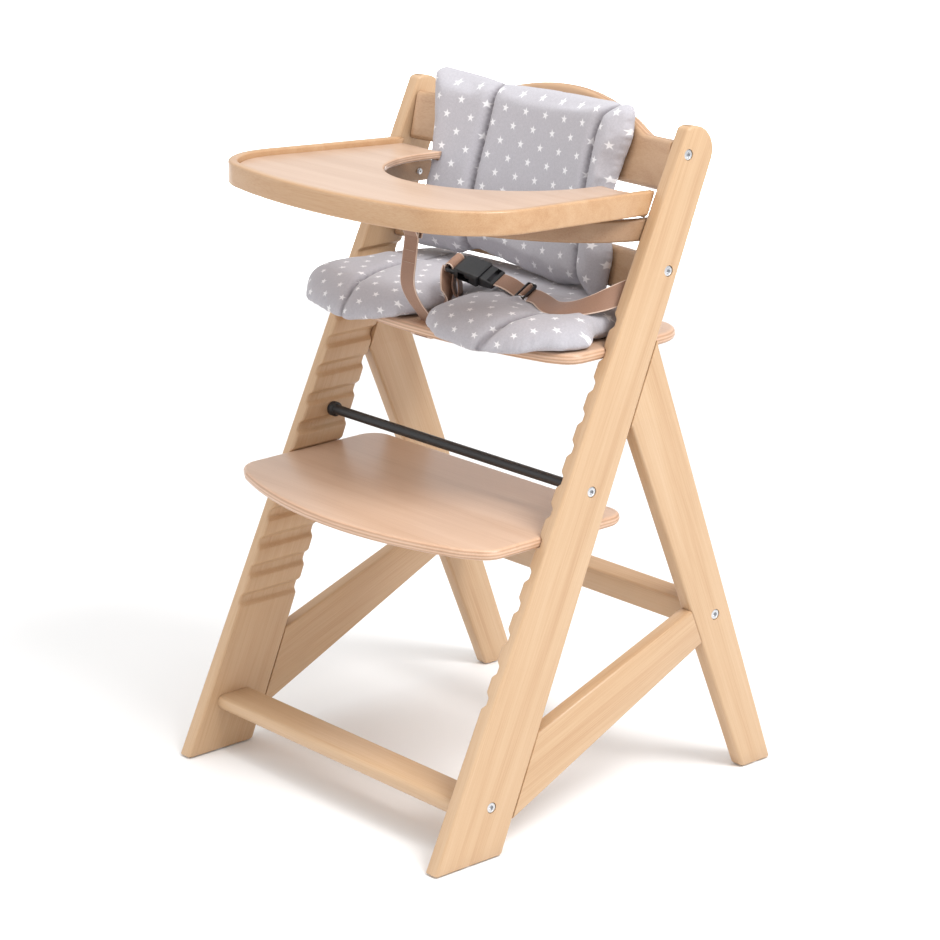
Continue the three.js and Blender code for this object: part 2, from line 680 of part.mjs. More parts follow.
// Everything of the tray that would reach past the slanted front edges of the legs.
function legsKeepOut() {
  const low = TRAY_Z - 60;
  const high = TRAY_Z + 60;
  return sideSolid(
    [
      new THREE.Vector2(legFront(low) - TRAY_GAP, low),
      new THREE.Vector2(legFront(low) + 200, low),
      new THREE.Vector2(legFront(high) + 200, high),
      new THREE.Vector2(legFront(high) - TRAY_GAP, high),
    ],
    -outerX - 10,
    outerX + 10,
  );
}

const rimOutside = flatSolid(trayOutline(0, 30), -RIM_H, RIM_H);
const rimInside = flatSolid(trayOutline(RIM_T, 60), -RIM_H - 1, RIM_H + 2);
const rim = placed(rimOutside.subtract(rimInside), trayFrame).subtract(legsKeepOut());
addNode("tray_rim", rim, beechPly);

const boardBlank = flatSolid(trayOutline(RIM_T + JOINT_GAP, 0), -TRAY_DROP - TRAY_T, TRAY_T);
const cutout = flatSolid(
  outline([
    [-CUTOUT_R, -CUTOUT_BACK - CUTOUT_R, CUTOUT_R - 1],
    [CUTOUT_R, -CUTOUT_BACK - CUTOUT_R, CUTOUT_R - 1],
    [CUTOUT_R, 40, 0],
    [-CUTOUT_R, 40, 0],
  ], 16),
  -TRAY_DROP - TRAY_T - 5,
  TRAY_T + 10,
);
addNode("tray_board", placed(boardBlank.subtract(cutout), trayFrame).subtract(legsKeepOut()), beechPly);

// Two pads under the board that rest on the guard bow and hold the tray off it.
function trayClip() {
  const [across, along, thick] = CLIP;
  const x = CUTOUT_R + CLIP_BESIDE;
  const top = -TRAY_DROP - TRAY_T - JOINT_GAP;
  const clip = flatSolid(
    outline([
      [x - across / 2, -along - CLIP_BACK, 3],
      [x + across / 2, -along - CLIP_BACK, 3],
      [x + across / 2, -CLIP_BACK, 3],
      [x - across / 2, -CLIP_BACK, 3],
    ], 3),
    top - thick,
    thick,
  );
  return placed(clip, trayFrame);
}
addPair("tray_clip", trayClip(), blackPlastic);

const seatTop = seatZ + PLATE_T;

// The buckle's own frame: X along the waist belt, Z out of its face.
const buckleX = new THREE.Vector3(...BUCKLE_ALONG).normalize();
const buckleFace = new THREE.Vector3(...BUCKLE_FACE);
const buckleY = buckleFace.clone().cross(buckleX).normalize();
const buckleZ = buckleX.clone().cross(buckleY);
const buckleFrame = new THREE.Matrix4()
  .makeBasis(buckleX, buckleY, buckleZ)
  .setPosition(BUCKLE_FROM_SLOT[0], slotY + BUCKLE_FROM_SLOT[1], seatTop + BUCKLE_FROM_SLOT[2]);
const [sliderL, sliderW, sliderT] = SLIDER;
const sliderX = PLUG[0] + SLIDER_AWAY;
const sliderEnd = sliderX + sliderL;

// ---- seat cushion: one pad with a slit at the front for the crotch strap ----
function seatCushion() {
  const front = SEAT_FRONT - SEAT_PAD_OVER;
  const pad = flatSolid(
    outline([
      [-SEAT_PAD_HALF, front, SEAT_PAD_ROUNDS[0]],
      [SEAT_PAD_HALF, front, SEAT_PAD_ROUNDS[0]],
      [SEAT_PAD_HALF, front + SEAT_PAD_D, SEAT_PAD_ROUNDS[1]],
      [-SEAT_PAD_HALF, front + SEAT_PAD_D, SEAT_PAD_ROUNDS[1]],
    ], 6),
    seatTop + PAD_GAP,
    SEAT_PAD_T,
    SEAT_PAD_EDGE,
    2,
  );
  const slit = flatSolid(
    outline([
      [-SEAT_SLIT / 2, front - THROUGH, 0],
      [SEAT_SLIT / 2, front - THROUGH, 0],
      [SEAT_SLIT / 2, front + SEAT_SLIT_D, SEAT_SLIT_R],
      [-SEAT_SLIT / 2, front + SEAT_SLIT_D, SEAT_SLIT_R],
    ], 4),
    seatTop - THROUGH,
    SEAT_PAD_T + 3 * THROUGH,
  );
  return pad.subtract(slit);
}
addNode("seat_cushion", seatCushion(), greyCloth);

// ---- back cushion: a middle panel and two side panels on the bent boards ----
function backPanel(x0, x1, low, high) {
  const n1 = -BACK_T / 2 - PAD_GAP;
  const slab = bentSlab(x0, x1, n1 - BACK_PAD_T, n1, low, high, 10);
  return placed(slab, boardFrame(boltPlaces.upper_back));
}
const [padLow, padHigh] = BACK_PAD;
addNode("back_cushion", backPanel(-BACK_PAD_HALF, BACK_PAD_HALF, padLow, padHigh), greyCloth);
const wingFrom = BACK_PAD_HALF + SEAM_GAP;
const wing = backPanel(wingFrom, wingFrom + BACK_PAD_WING, padLow - BACK_PAD_TAIL, padHigh);
addPair("back_cushion_wing", wing, greyCloth);

// ---- harness ----
// A strap in the middle plane of the chair: a path in Y and Z, WEB_W wide across X.
function strapSolid(path, x = 0) {
  const points = new THREE.SplineCurve(path.map(([y, z]) => new THREE.Vector2(y, z))).getPoints(20);
  return sideSolid(bandOutline(points, WEB_T), x - WEB_W / 2, x + WEB_W / 2);
}
const bowFrontY = bowTabY - BOW_REACH - BOW_T / 2;
const bowLift = TRAY_TILT * BOW_REACH;
const strapTop = BOW_Z + bowLift;
addNode(
  "crotch_strap_front",
  strapSolid([
    [bowFrontY + STRAP_SWING[0], strapTop - STRAP_FALL[0]],
    [bowFrontY + STRAP_SWING[1], strapTop - STRAP_FALL[1]],
    [bowFrontY + STRAP_SWING[2], strapTop - STRAP_FALL[2]],
    [slotY + STRAP_SWING[3], seatTop + STRAP_FALL[3]],
    [slotY + STRAP_SWING[4], seatTop + STRAP_LIFT],
  ]),
  webbing,
);

// The loop of webbing that goes round the bow.
function bowLoop() {
  const inside = BOW_T / 2 + LOOP_GAP;
  const outside = inside + WEB_T;
  const half = WEB_W / 2;
  const outer = boxSolid(
    [-half, -BOW_REACH - outside, -LOOP_GAP - WEB_T],
    [half, -BOW_REACH + outside, BOW_H + LOOP_GAP + WEB_T],
  );
  const inner = boxSolid(
    [-half - 1, -BOW_REACH - inside, -LOOP_GAP],
    [half + 1, -BOW_REACH + inside, BOW_H + LOOP_GAP],
  );
  return placed(outer.subtract(inner), tilted);
}
addNode("bow_loop", bowLoop(), webbing);

// The webbing that holds both straps through the slot in the seat.
function strapAnchor() {
  const [neckW, neckD, neckDrop] = ANCHOR_NECK;
  const [knotW, knotD, knotT] = ANCHOR_PLATE;
  const neck = boxSolid(
    [-neckW / 2, slotY - neckD / 2, seatZ - neckDrop],
    [neckW / 2, slotY + neckD / 2, seatTop - END_GAP],
  );
  const knot = boxSolid(
    [-knotW / 2, slotY - knotD / 2, seatZ - ANCHOR_GAP - knotT],
    [knotW / 2, slotY + knotD / 2, seatZ - ANCHOR_GAP],
  );
  return neck.add(knot);
}
addNode("strap_anchor", strapAnchor(), webbing);

const [socketL, socketW, socketT] = SOCKET;
const barX = -socketL - BAR_FRAME[0];
function buckleSocket() {
  const [backR, mouthR] = SOCKET_ROUNDS;
  const inner = socketW / 2 - SHELL;
  const deep = socketT / 2 - SHELL;
  const shell = flatSolid(
    outline([
      [-socketL, -socketW / 2, backR],
      [0, -socketW / 2, mouthR],
      [0, socketW / 2, mouthR],
      [-socketL, socketW / 2, backR],
    ], 3),
    -socketT / 2,
    socketT,
  );
  const room = boxSolid([-socketL + SOCKET_BACK, -inner, -deep], [THROUGH, inner, deep]);
  const windowX = -socketL + WINDOW[0];
  const windows = boxSolid(
    [windowX, -socketW / 2 - THROUGH, -deep],
    [windowX + WINDOW[1], socketW / 2 + THROUGH, deep],
  );
  const frameT = BAR_FRAME[1];
  const bar = boxSolid(
    [barX, -socketW / 2, -frameT / 2],
    [-socketL + PLUG_GAP, socketW / 2, frameT / 2],
  );
  const slotHalf = WEB_W / 2 + BAR_SLOT[2];
  const barSlot = boxSolid(
    [barX + BAR_SLOT[0], -slotHalf, -frameT],
    [barX + BAR_SLOT[0] + BAR_SLOT[1], slotHalf, frameT],
  );
  return placed(shell.subtract(room).subtract(windows).add(bar).subtract(barSlot), buckleFrame);
}
addNode("buckle_socket", buckleSocket(), blackPlastic);

// A slot for the webbing across a moulding in the buckle's frame, from x onwards.
function webSlot(x, long) {
  const half = WEB_W / 2 + WEB_SLOT[1];
  return boxSolid([x, -half, -THROUGH], [x + long, half, THROUGH]);
}

function bucklePlug() {
  const [l, w, t] = PLUG;
  const [tongueL, tongueW, tongueT] = TONGUE;
  const body = boxSolid([PLUG_GAP, -w / 2, -t / 2], [l, w / 2, t / 2]);
  const tongue = boxSolid(
    [-tongueL, -tongueW / 2, -tongueT / 2],
    [2 * PLUG_GAP, tongueW / 2, tongueT / 2],
  );
  const slot = webSlot(l - SLOT_WALL - WEB_SLOT[0], WEB_SLOT[0]);
  return placed(body.add(tongue).subtract(slot), buckleFrame);
}
addNode("buckle_plug", bucklePlug(), blackPlastic);

// The two sprung latches at the sides of the plug.
const latchHingeY = PLUG[1] / 2 - PRONG[1] / 2 - PRONG_INSET;
for (const [name, side] of [["upper", 1], ["lower", -1]]) {
  const [l, t, h] = PRONG;
  const y = side * latchHingeY;
  const arm = boxSolid([-l, y - t / 2, -h / 2], [0, y + t / 2, h / 2]);
  addNode(`buckle_latch_${name}`, placed(arm, buckleFrame), blackPlastic);
}

function slider() {
  const plate = boxSolid(
    [sliderX, -sliderW / 2, -sliderT / 2],
    [sliderEnd, sliderW / 2, sliderT / 2],
  );
  const slotL = sliderL / 2 - 1.5 * SLIDER_RIM;
  const near = webSlot(sliderX + SLIDER_RIM, slotL);
  const far = webSlot(sliderEnd - SLIDER_RIM - slotL, slotL);
  return placed(plate.subtract(near).subtract(far), buckleFrame);
}
addNode("strap_slider", slider(), blackPlastic);
const tail = boxSolid(
  [PLUG[0] + END_GAP, -WEB_W / 2, -WEB_T / 2],
  [sliderX - END_GAP, WEB_W / 2, WEB_T / 2],
);
addNode("waist_strap_tail", placed(tail, buckleFrame), webbing);

// The waist strap: a path in X and Y just above the seat cushion, from the slider to the leg.
function waistStrap(path) {
  const points = new THREE.SplineCurve(path.map(([x, y]) => new THREE.Vector2(x, y))).getPoints(20);
  return flatSolid(bandOutline(points, WEB_T), seatTop + PAD_GAP + SEAT_PAD_T + WAIST_LEVEL, WEB_W);
}
const strapStart = new THREE.Vector3(sliderEnd + PLUG_TRAVEL + 2, 0, 0).applyMatrix4(buckleFrame);
const strapEnd = innerX - 1;
addNode(
  "waist_strap",
  waistStrap([
    [strapStart.x, strapStart.y],
    [(strapStart.x + strapEnd) / 2, strapStart.y + WAIST_BOW[0]],
    [strapEnd, strapStart.y + WAIST_BOW[1]],
  ]),
  webbing,
);

// The crotch strap from the seat up to the bar of the buckle, and the loose loop that hangs there.
const bar = new THREE.Vector3(barX, 0, 0).applyMatrix4(buckleFrame);
addNode(
  "crotch_strap_rear",
  strapSolid([
    [slotY + REAR_SWING[0], seatTop + STRAP_LIFT],
    [slotY + REAR_SWING[1], seatTop + REAR_RISE[0]],
    [bar.y + REAR_SWING[2], bar.z - REAR_RISE[1]],
    [bar.y + REAR_SWING[3], bar.z - REAR_RISE[2]],
  ], bar.x),
  webbing,
);
const [tailT, tailW, tailH] = TAIL;
const tailX = bar.x + WEB_W / 2 + TAIL_AT[0];
const tailBack = bar.y + TAIL_AT[1];
const tailTop = bar.z - TAIL_AT[2];
const tailLoop = boxSolid(
  [tailX, tailBack - tailW, tailTop - tailH],
  [tailX + tailT, tailBack, tailTop],
);
addNode("webbing_tail", tailLoop, webbing);

export default chair;
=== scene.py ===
import math

import bmesh
import bpy
import numpy as np
from mathutils import Matrix, Vector
from mathutils.geometry import delaunay_2d_cdt


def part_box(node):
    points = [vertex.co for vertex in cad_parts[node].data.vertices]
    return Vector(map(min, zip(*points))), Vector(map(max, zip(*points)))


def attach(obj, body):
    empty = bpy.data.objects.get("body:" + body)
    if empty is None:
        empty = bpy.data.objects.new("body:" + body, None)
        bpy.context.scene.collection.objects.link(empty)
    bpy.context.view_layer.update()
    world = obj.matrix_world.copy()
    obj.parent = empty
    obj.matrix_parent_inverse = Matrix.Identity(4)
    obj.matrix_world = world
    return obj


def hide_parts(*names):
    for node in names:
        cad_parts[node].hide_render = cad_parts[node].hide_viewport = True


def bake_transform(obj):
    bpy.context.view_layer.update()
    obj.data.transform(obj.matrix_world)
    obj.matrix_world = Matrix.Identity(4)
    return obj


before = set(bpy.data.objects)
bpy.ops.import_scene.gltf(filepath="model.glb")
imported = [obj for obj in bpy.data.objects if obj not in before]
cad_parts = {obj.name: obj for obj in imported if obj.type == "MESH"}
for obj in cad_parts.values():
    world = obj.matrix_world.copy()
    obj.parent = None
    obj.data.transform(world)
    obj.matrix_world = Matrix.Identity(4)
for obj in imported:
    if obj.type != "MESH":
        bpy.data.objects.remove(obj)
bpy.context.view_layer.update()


# ---- Front legs ----
# Two beech boards, 19 mm thick, that lean back and taper upwards. Thirteen grooves with
# soft lips are milled across each inner face, and the edges are rounded over by hand.
board_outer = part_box("front_leg_right")[1].x
board_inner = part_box("front_leg_right")[0].x
floor_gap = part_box("front_leg_right")[0].z
leg_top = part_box("front_leg_right")[1].z
toe_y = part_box("front_leg_right")[0].y
leg_width_at_floor = 0.0956
front_lean, back_lean = 0.4977, 0.4419
edge_round = 0.0034
groove_first, groove_pitch, groove_count = 0.1725, 0.0327, 13
groove_depth, groove_floor, groove_reach = 0.0056, 0.0030, 0.0096
plate_thick = 0.0125
leg_nose_round, leg_back_round = 0.008, 0.029


def front_edge(z):
    return toe_y + front_lean * (z - floor_gap)


def back_edge(z):
    return toe_y + leg_width_at_floor + back_lean * (z - floor_gap)


def groove_middle(i):
    return floor_gap + groove_first + groove_pitch * i + plate_thick / 2


def milled(z, which):
    deep = 0.0
    for i in which:
        away = abs(z - groove_middle(i))
        t = min(max((groove_reach - away) / (groove_reach - groove_floor), 0.0), 1.0)
        deep = max(deep, groove_depth * t * t * (3 - 2 * t))
    return deep


def ring(corner, u, v, rounds, steps=4):
    """A cross section: from corner along u and then v, with each corner rounded."""
    corner, u, v = Vector(corner), Vector(u), Vector(v)
    spots = [corner, corner + u, corner + u + v, corner + v]
    shortest = min(u.length, v.length)
    points = []
    for i in range(4):
        at = spots[i]
        back = (spots[i - 1] - at).normalized()
        ahead = (spots[(i + 1) % 4] - at).normalized()
        half = back.angle(ahead) / 2
        r = max(min(rounds[i], 0.48 * shortest * math.tan(half)), 1e-6)
        centre = at + (back + ahead).normalized() * (r / math.sin(half))
        start = (at + back * (r / math.tan(half)) - centre) / r
        end = (at + ahead * (r / math.tan(half)) - centre) / r
        sweep = math.pi - 2 * half
        for k in range(steps + 1):
            t = k / steps
            way = start * math.sin((1 - t) * sweep) + end * math.sin(t * sweep)
            points.append(centre + way * (r / math.sin(sweep)))
    return points


def soft_ends(rings, soft):
    """Eases both ends of a loft: the end ring shrinks and a full one follows just inside."""
    made = list(rings)
    for end, inner in ((0, 1), (-1, -2)):
        last = made[end]
        middle = sum(last, Vector()) / len(last)
        full, small = [], []
        for p, q in zip(last, made[inner]):
            inward = q - p
            full.append(p + inward.normalized() * min(soft, 0.4 * inward.length))
            small.append(p + (middle - p).normalized() * min(soft, 0.4 * (middle - p).length))
        made[end] = full
        made.insert(0, small) if end == 0 else made.append(small)
    return made


def in_scene(name, data):
    """An object for this mesh, lamp or camera, linked to the scene."""
    made = bpy.data.objects.new(name, data)
    bpy.context.scene.collection.objects.link(made)
    return made


def piece_of(name, points, faces, depths=None, sharp=math.radians(40), weld=1e-6):
    """A closed mesh with its faces outwards, smooth but for its sharp edges."""
    mesh = bpy.data.meshes.new(name)
    mesh.from_pydata([tuple(p) for p in points], [], faces)
    if depths is not None:
        layer = mesh.attributes.new("through", "FLOAT", "POINT")
        layer.data.foreach_set("value", np.array(depths, np.float32))
    work = bmesh.new()
    work.from_mesh(mesh)
    bmesh.ops.remove_doubles(work, verts=work.verts, dist=weld)
    bmesh.ops.recalc_face_normals(work, faces=work.faces)
    work.to_mesh(mesh)
    work.free()
    mesh.shade_smooth()
    mesh.set_sharp_from_angle(angle=sharp)
    return in_scene(name, mesh)


def skin_between(count, n):
    """The faces between a row of closed rings of n points each."""
    faces = []
    for i in range(count - 1):
        a, b = i * n, (i + 1) * n
        faces += [(a + k, a + (k + 1) % n, b + (k + 1) % n, b + k) for k in range(n)]
    return faces


def lofted(name, rings, depth_of=None, sharp=math.radians(40)):
    """Skins a row of rings, closes both ends, and keeps each point's depth in the board."""
    n = len(rings[0])
    points = [p for r in rings for p in r]
    faces = skin_between(len(rings), n)
    faces += [tuple(range(n)), tuple(range(len(points) - n, len(points)))]
    depths = None if depth_of is None else [depth_of(p) for p in points]
    return piece_of(name, points, faces, depths, sharp)


def mirror_of(piece, name):
    """The same piece on the other side of the chair."""
    twin = piece.copy()
    twin.data = piece.data.copy()
    twin.name = name
    bpy.context.scene.collection.objects.link(twin)
    twin.data.transform(Matrix.Scale(-1, 4, (1, 0, 0)))
    twin.data.flip_normals()
    return twin


def bored(piece, holes):
    """Cuts round holes, each (centre, direction, radius, length)."""
    cutter = bmesh.new()
    for centre, along, radius, length in holes:
        turn = Vector((0, 0, 1)).rotation_difference(Vector(along)).to_matrix().to_4x4()
        place = Matrix.Translation(centre) @ turn
        bmesh.ops.create_cone(
            cutter, cap_ends=True, segments=40, radius1=radius, radius2=radius,
            depth=length, matrix=place,
        )
    mesh = bpy.data.meshes.new("drill")
    cutter.to_mesh(mesh)
    cutter.free()
    return combined(piece, in_scene("drill", mesh), math.radians(40))


def combined(piece, tool, sharp, how="DIFFERENCE"):
    """Cuts a tool out of a piece, or unites the two, and clears the tool away."""
    step = piece.modifiers.new("combined", "BOOLEAN")
    step.operation, step.solver, step.object = how, "EXACT", tool
    applied(piece)
    bpy.data.objects.remove(tool)
    piece.data.set_sharp_from_angle(angle=sharp)
    return piece


def applied(piece):
    """Bakes the modifiers of a piece into its mesh."""
    seen = bpy.context.evaluated_depsgraph_get()
    made = bpy.data.meshes.new_from_object(piece.evaluated_get(seen))
    piece.modifiers.clear()
    piece.data = made
    return piece


def node(tree, kind, **settings):
    """Adds a shader or geometry node and sets its options and its sockets by name."""
    made = tree.nodes.new(kind)
    for key, value in settings.items():
        if hasattr(made, key):
            setattr(made, key, value)
        else:
            made.inputs[key.replace("_", " ")].default_value = value
    return made


def new_finish(name, rough, **shader):
    """A material with its constant values on the shader's own sockets."""
    finish = bpy.data.materials.new(name)
    finish.use_nodes = True
    tree = finish.node_tree
    surface = tree.nodes["Principled BSDF"]
    surface.inputs["Roughness"].default_value = rough
    for key, value in shader.items():
        surface.inputs[key.replace("_", " ")].default_value = value
    return finish, tree, surface


def fine_relief(tree, surface, source, strength, distance):
    """Raises the surface where the source is bright."""
    relief = node(tree, "ShaderNodeBump", Strength=strength, Distance=distance)
    tree.links.new(source, relief.inputs["Height"])
    tree.links.new(relief.outputs["Normal"], surface.inputs["Normal"])


def uneven_gloss(tree, surface, source, low, high):
    """Lets the roughness wander between two values."""
    gloss = node(tree, "ShaderNodeMapRange", To_Min=low, To_Max=high)
    tree.links.new(source, gloss.inputs["Value"])
    tree.links.new(gloss.outputs["Result"], surface.inputs["Roughness"])


def fine_noise(tree, scale, detail):
    """An even noise fixed to the object."""
    at = node(tree, "ShaderNodeTexCoord")
    noise = node(tree, "ShaderNodeTexNoise", Scale=scale, Detail=detail)
    tree.links.new(at.outputs["Object"], noise.inputs["Vector"])
    return noise.outputs["Fac"]


def shaded_between(tree, source, low, high, *stops):
    """A colour ramp from a low to a high (position, colour), with any stops between."""
    ramp = node(tree, "ShaderNodeValToRGB")
    for element, (position, colour) in zip(ramp.color_ramp.elements, (low, high)):
        element.position, element.color = position, (*colour, 1)
    for position, colour in stops:
        ramp.color_ramp.elements.new(position).color = (*colour, 1)
    tree.links.new(source, ramp.inputs["Fac"])
    return ramp.outputs["Color"]


def wood_finish(name, grain, pale, middle, dark, layered=0, rough=0.4, origin=(0, 0, 0)):
    """Lacquered beech: broad figure, fine fibre and short dark flecks along the grain."""
    grain = Vector(grain).normalized()
    turn = (0, -math.asin(grain.z), math.atan2(grain.y, grain.x))
    finish, tree, surface = new_finish(
        name, rough, Coat_Weight=0.22, Coat_Roughness=0.22, Specular_IOR_Level=0.42
    )
    link = tree.links.new
    at = node(tree, "ShaderNodeTexCoord")
    scaled = []
    figure_size, fibre_size = (0.55, 0.022, 0.022), (0.11, 0.0011, 0.0011)
    fleck_size = (0.006, 0.0005, 0.0005)
    rare, faint = 0.72, 0.30
    for size in (figure_size, fibre_size, fleck_size):
        lay = node(tree, "ShaderNodeMapping", vector_type="TEXTURE")
        lay.inputs["Location"].default_value = origin
        lay.inputs["Rotation"].default_value = turn
        lay.inputs["Scale"].default_value = size
        link(at.outputs["Object"], lay.inputs["Vector"])
        scaled.append(lay.outputs["Vector"])
    figure = node(tree, "ShaderNodeTexNoise", Scale=1.0, Detail=3.0, Roughness=0.55, Distortion=0.8)
    fibre = node(tree, "ShaderNodeTexNoise", Scale=1.0, Detail=4.0, Roughness=0.6)
    fleck = node(tree, "ShaderNodeTexVoronoi", Scale=1.0, Randomness=1.0)
    for texture, source in zip((figure, fibre, fleck), scaled):
        link(source, texture.inputs["Vector"])
    both = node(tree, "ShaderNodeMix", data_type="FLOAT")
    both.inputs["Factor"].default_value = 0.5
    link(figure.outputs["Fac"], both.inputs["A"])
    link(fibre.outputs["Fac"], both.inputs["B"])
    toned = shaded_between(
        tree, both.outputs["Result"], (0.34, dark), (0.68, pale), (0.5, middle)
    )
    tick = node(tree, "ShaderNodeMapRange", From_Min=0.10, From_Max=0.22, To_Min=1.0, To_Max=0.0)
    link(fleck.outputs["Distance"], tick.inputs["Value"])
    sparse = node(tree, "ShaderNodeMath", operation="GREATER_THAN")
    sparse.inputs[1].default_value = rare
    tone = node(tree, "ShaderNodeSeparateColor")
    link(fleck.outputs["Color"], tone.inputs["Color"])
    link(tone.outputs["Red"], sparse.inputs[0])
    marks = node(tree, "ShaderNodeMath", operation="MULTIPLY")
    link(tick.outputs["Result"], marks.inputs[0])
    link(sparse.outputs["Value"], marks.inputs[1])
    soften = node(tree, "ShaderNodeMath", operation="MULTIPLY")
    soften.inputs[1].default_value = faint
    link(marks.outputs["Value"], soften.inputs[0])
    flecked = node(tree, "ShaderNodeMix", data_type="RGBA", blend_type="MULTIPLY")
    flecked.inputs["B"].default_value = (0.62, 0.45, 0.32, 1)
    link(soften.outputs["Value"], flecked.inputs["Factor"])
    link(toned, flecked.inputs["A"])
    colour = flecked.outputs["Result"]
    if layered:
        colour = ply_layers(tree, colour, layered, at, scaled[1])
    link(colour, surface.inputs["Base Color"])
    uneven_gloss(tree, surface, both.outputs["Result"], rough - 0.07, rough + 0.09)
    fine_relief(tree, surface, fibre.outputs["Fac"], 0.12, 0.0004)
    return finish


def ply_layers(tree, face_colour, thick, at, fine):
    """On the edges of a plywood piece, its veneers show as light and dark layers."""
    link = tree.links.new
    deep = node(tree, "ShaderNodeAttribute", attribute_name="through")
    share = node(tree, "ShaderNodeMath", operation="DIVIDE")
    share.inputs[1].default_value = thick
    link(deep.outputs["Fac"], share.inputs[0])
    wander = node(tree, "ShaderNodeTexNoise", Scale=60.0, Detail=2.0)
    link(at.outputs["Object"], wander.inputs["Vector"])
    shift = node(tree, "ShaderNodeMapRange", To_Min=-0.02, To_Max=0.02)
    link(wander.outputs["Fac"], shift.inputs["Value"])
    place = node(tree, "ShaderNodeMath", operation="ADD")
    link(share.outputs["Value"], place.inputs[0])
    link(shift.outputs["Result"], place.inputs[1])
    veneer = node(tree, "ShaderNodeValToRGB")
    bands = veneer.color_ramp
    bands.interpolation = "LINEAR"
    plies = 7
    bands.elements[0].position, bands.elements[0].color = 0.0, (1, 1, 1, 1)
    bands.elements[1].position, bands.elements[1].color = 1.0, (1, 1, 1, 1)
    for k in range(1, plies):
        dim = 0.62 if k % 2 else 1.0
        bands.elements.new(k / plies - 0.014).color = (1, 1, 1, 1) if k % 2 else (0.72, 0.6, 0.5, 1)
        bands.elements.new(k / plies + 0.014).color = (dim + 0.1, dim, dim - 0.08, 1)
    link(place.outputs["Value"], veneer.inputs["Fac"])
    mixed = node(tree, "ShaderNodeMix", data_type="RGBA", blend_type="MULTIPLY")
    mixed.inputs["Factor"].default_value = 0.75
    link(face_colour, mixed.inputs["A"])
    link(veneer.outputs["Color"], mixed.inputs["B"])
    return mixed.outputs["Result"]


def settle(piece, finish, slot, body, *nodes):
    """Gives a piece its finish and puts it on its body in place of its plain solids."""
    piece.data.materials.clear()
    piece.data.materials.append(finish)
    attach(piece, body)
    if nodes:
        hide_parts(*nodes)
    return piece


bolt_head, bolt_clear = 0.0060, 0.00035
bolt_places = [
    (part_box(f"{where}_bolt_right")[0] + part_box(f"{where}_bolt_right")[1]) / 2
    for where in ("upper_back", "lower_back", "rod", "front_rail", "rear_rail")
]


def head_holes(spots):
    """The counterbore that each bolt head sits in, on the outer face."""
    return [
        ((board_outer, p.y, p.z), (1, 0, 0), bolt_head + bolt_clear, 0.0086) for p in spots
    ]


beech_pale, beech_middle = (0.575, 0.400, 0.250), (0.530, 0.350, 0.205)
beech_dark = (0.465, 0.285, 0.155)
lean_angle = math.atan((front_lean + back_lean) / 2)


def leg_rings():
    levels = [floor_gap, floor_gap + 0.02]
    for i in range(groove_count):
        middle = groove_middle(i)
        levels += [middle + s * 0.001 for s in (-9.6, -8.6, -7.5, -6.4, -5.3, -4.2, -3.0, 0)]
        levels += [middle + s * 0.001 for s in (3.0, 4.2, 5.3, 6.4, 7.5, 8.6, 9.6)]
    levels += list(np.linspace(levels[-1] + 0.03, leg_top - 0.045, 5))
    curve_start = leg_top - 0.041
    levels += [curve_start + 0.041 * math.sin(a) for a in np.linspace(0.02, math.pi / 2, 22)]
    rings = []
    nose_z = leg_top - leg_nose_round
    nose_y = front_edge(nose_z) + leg_nose_round * math.hypot(1, front_lean)
    crown_z = leg_top - leg_back_round
    crown_y = back_edge(crown_z) - leg_back_round * math.hypot(1, back_lean)
    for z in levels:
        y0, y1 = front_edge(z), back_edge(z)
        if z > nose_z + leg_nose_round * front_lean / math.hypot(1, front_lean):
            y0 = nose_y - math.sqrt(max(leg_nose_round**2 - (z - nose_z) ** 2, 0))
        if z > crown_z - leg_back_round * back_lean / math.hypot(1, back_lean):
            y1 = crown_y + math.sqrt(max(leg_back_round**2 - (z - crown_z) ** 2, 0))
        rise = max(z - (leg_top - edge_round), 0)
        pull = edge_round - math.sqrt(edge_round**2 - rise**2)
        x0 = board_inner + milled(z, range(groove_count)) + pull
        x1 = board_outer - pull
        rings.append(
            ring((x0, y0 + pull, z), (x1 - x0, 0, 0), (0, y1 - y0 - 2 * pull, 0), [edge_round] * 4)
        )
    return rings


def eased_foot(rings, soft=0.0012):
    """A board's foot, with its bottom edge just broken."""
    last = rings[0]
    middle = sum(last, Vector()) / len(last)
    lifted = [p + (q - p).normalized() * soft for p, q in zip(last, rings[1])]
    return [[p + (middle - p).normalized() * soft for p in last], lifted, *rings[1:]]


beech_legs = wood_finish(
    "beech_legs", (0, math.sin(lean_angle), math.cos(lean_angle)), beech_pale, beech_middle,
    beech_dark
)
leg_right = bored(
    lofted("front_leg_shaped_right", eased_foot(leg_rings())), head_holes(bolt_places[:4])
)
leg_left = mirror_of(leg_right, "front_leg_shaped_left")
settle(leg_right, beech_legs, "beech", "frame", "front_leg_right")
settle(leg_left, beech_legs, "beech", "frame", "front_leg_left")


# ---- Rear legs and braces ----
# Beech boards of the same thickness. Each rear leg is glued to the slanted back edge of the
# front leg, and a brace runs down from it to the front leg's foot.
heel_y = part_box("rear_leg_right")[1].y
rear_width_at_floor = 0.0464
rear_lean, rear_back_lean = 0.3747, 0.3241
glue_line = 0.0003
brace_low = (0.0364, 0.1703)
brace_high = (0.1287, 0.2139)
seat_groove = 11


def heel_back(z):
    return heel_y - rear_back_lean * (z - floor_gap)


def heel_front(z):
    return heel_y - rear_width_at_floor - rear_lean * (z - floor_gap)


def meeting_height(lean, start):
    return floor_gap + (start - toe_y - leg_width_at_floor) / (lean + back_lean)


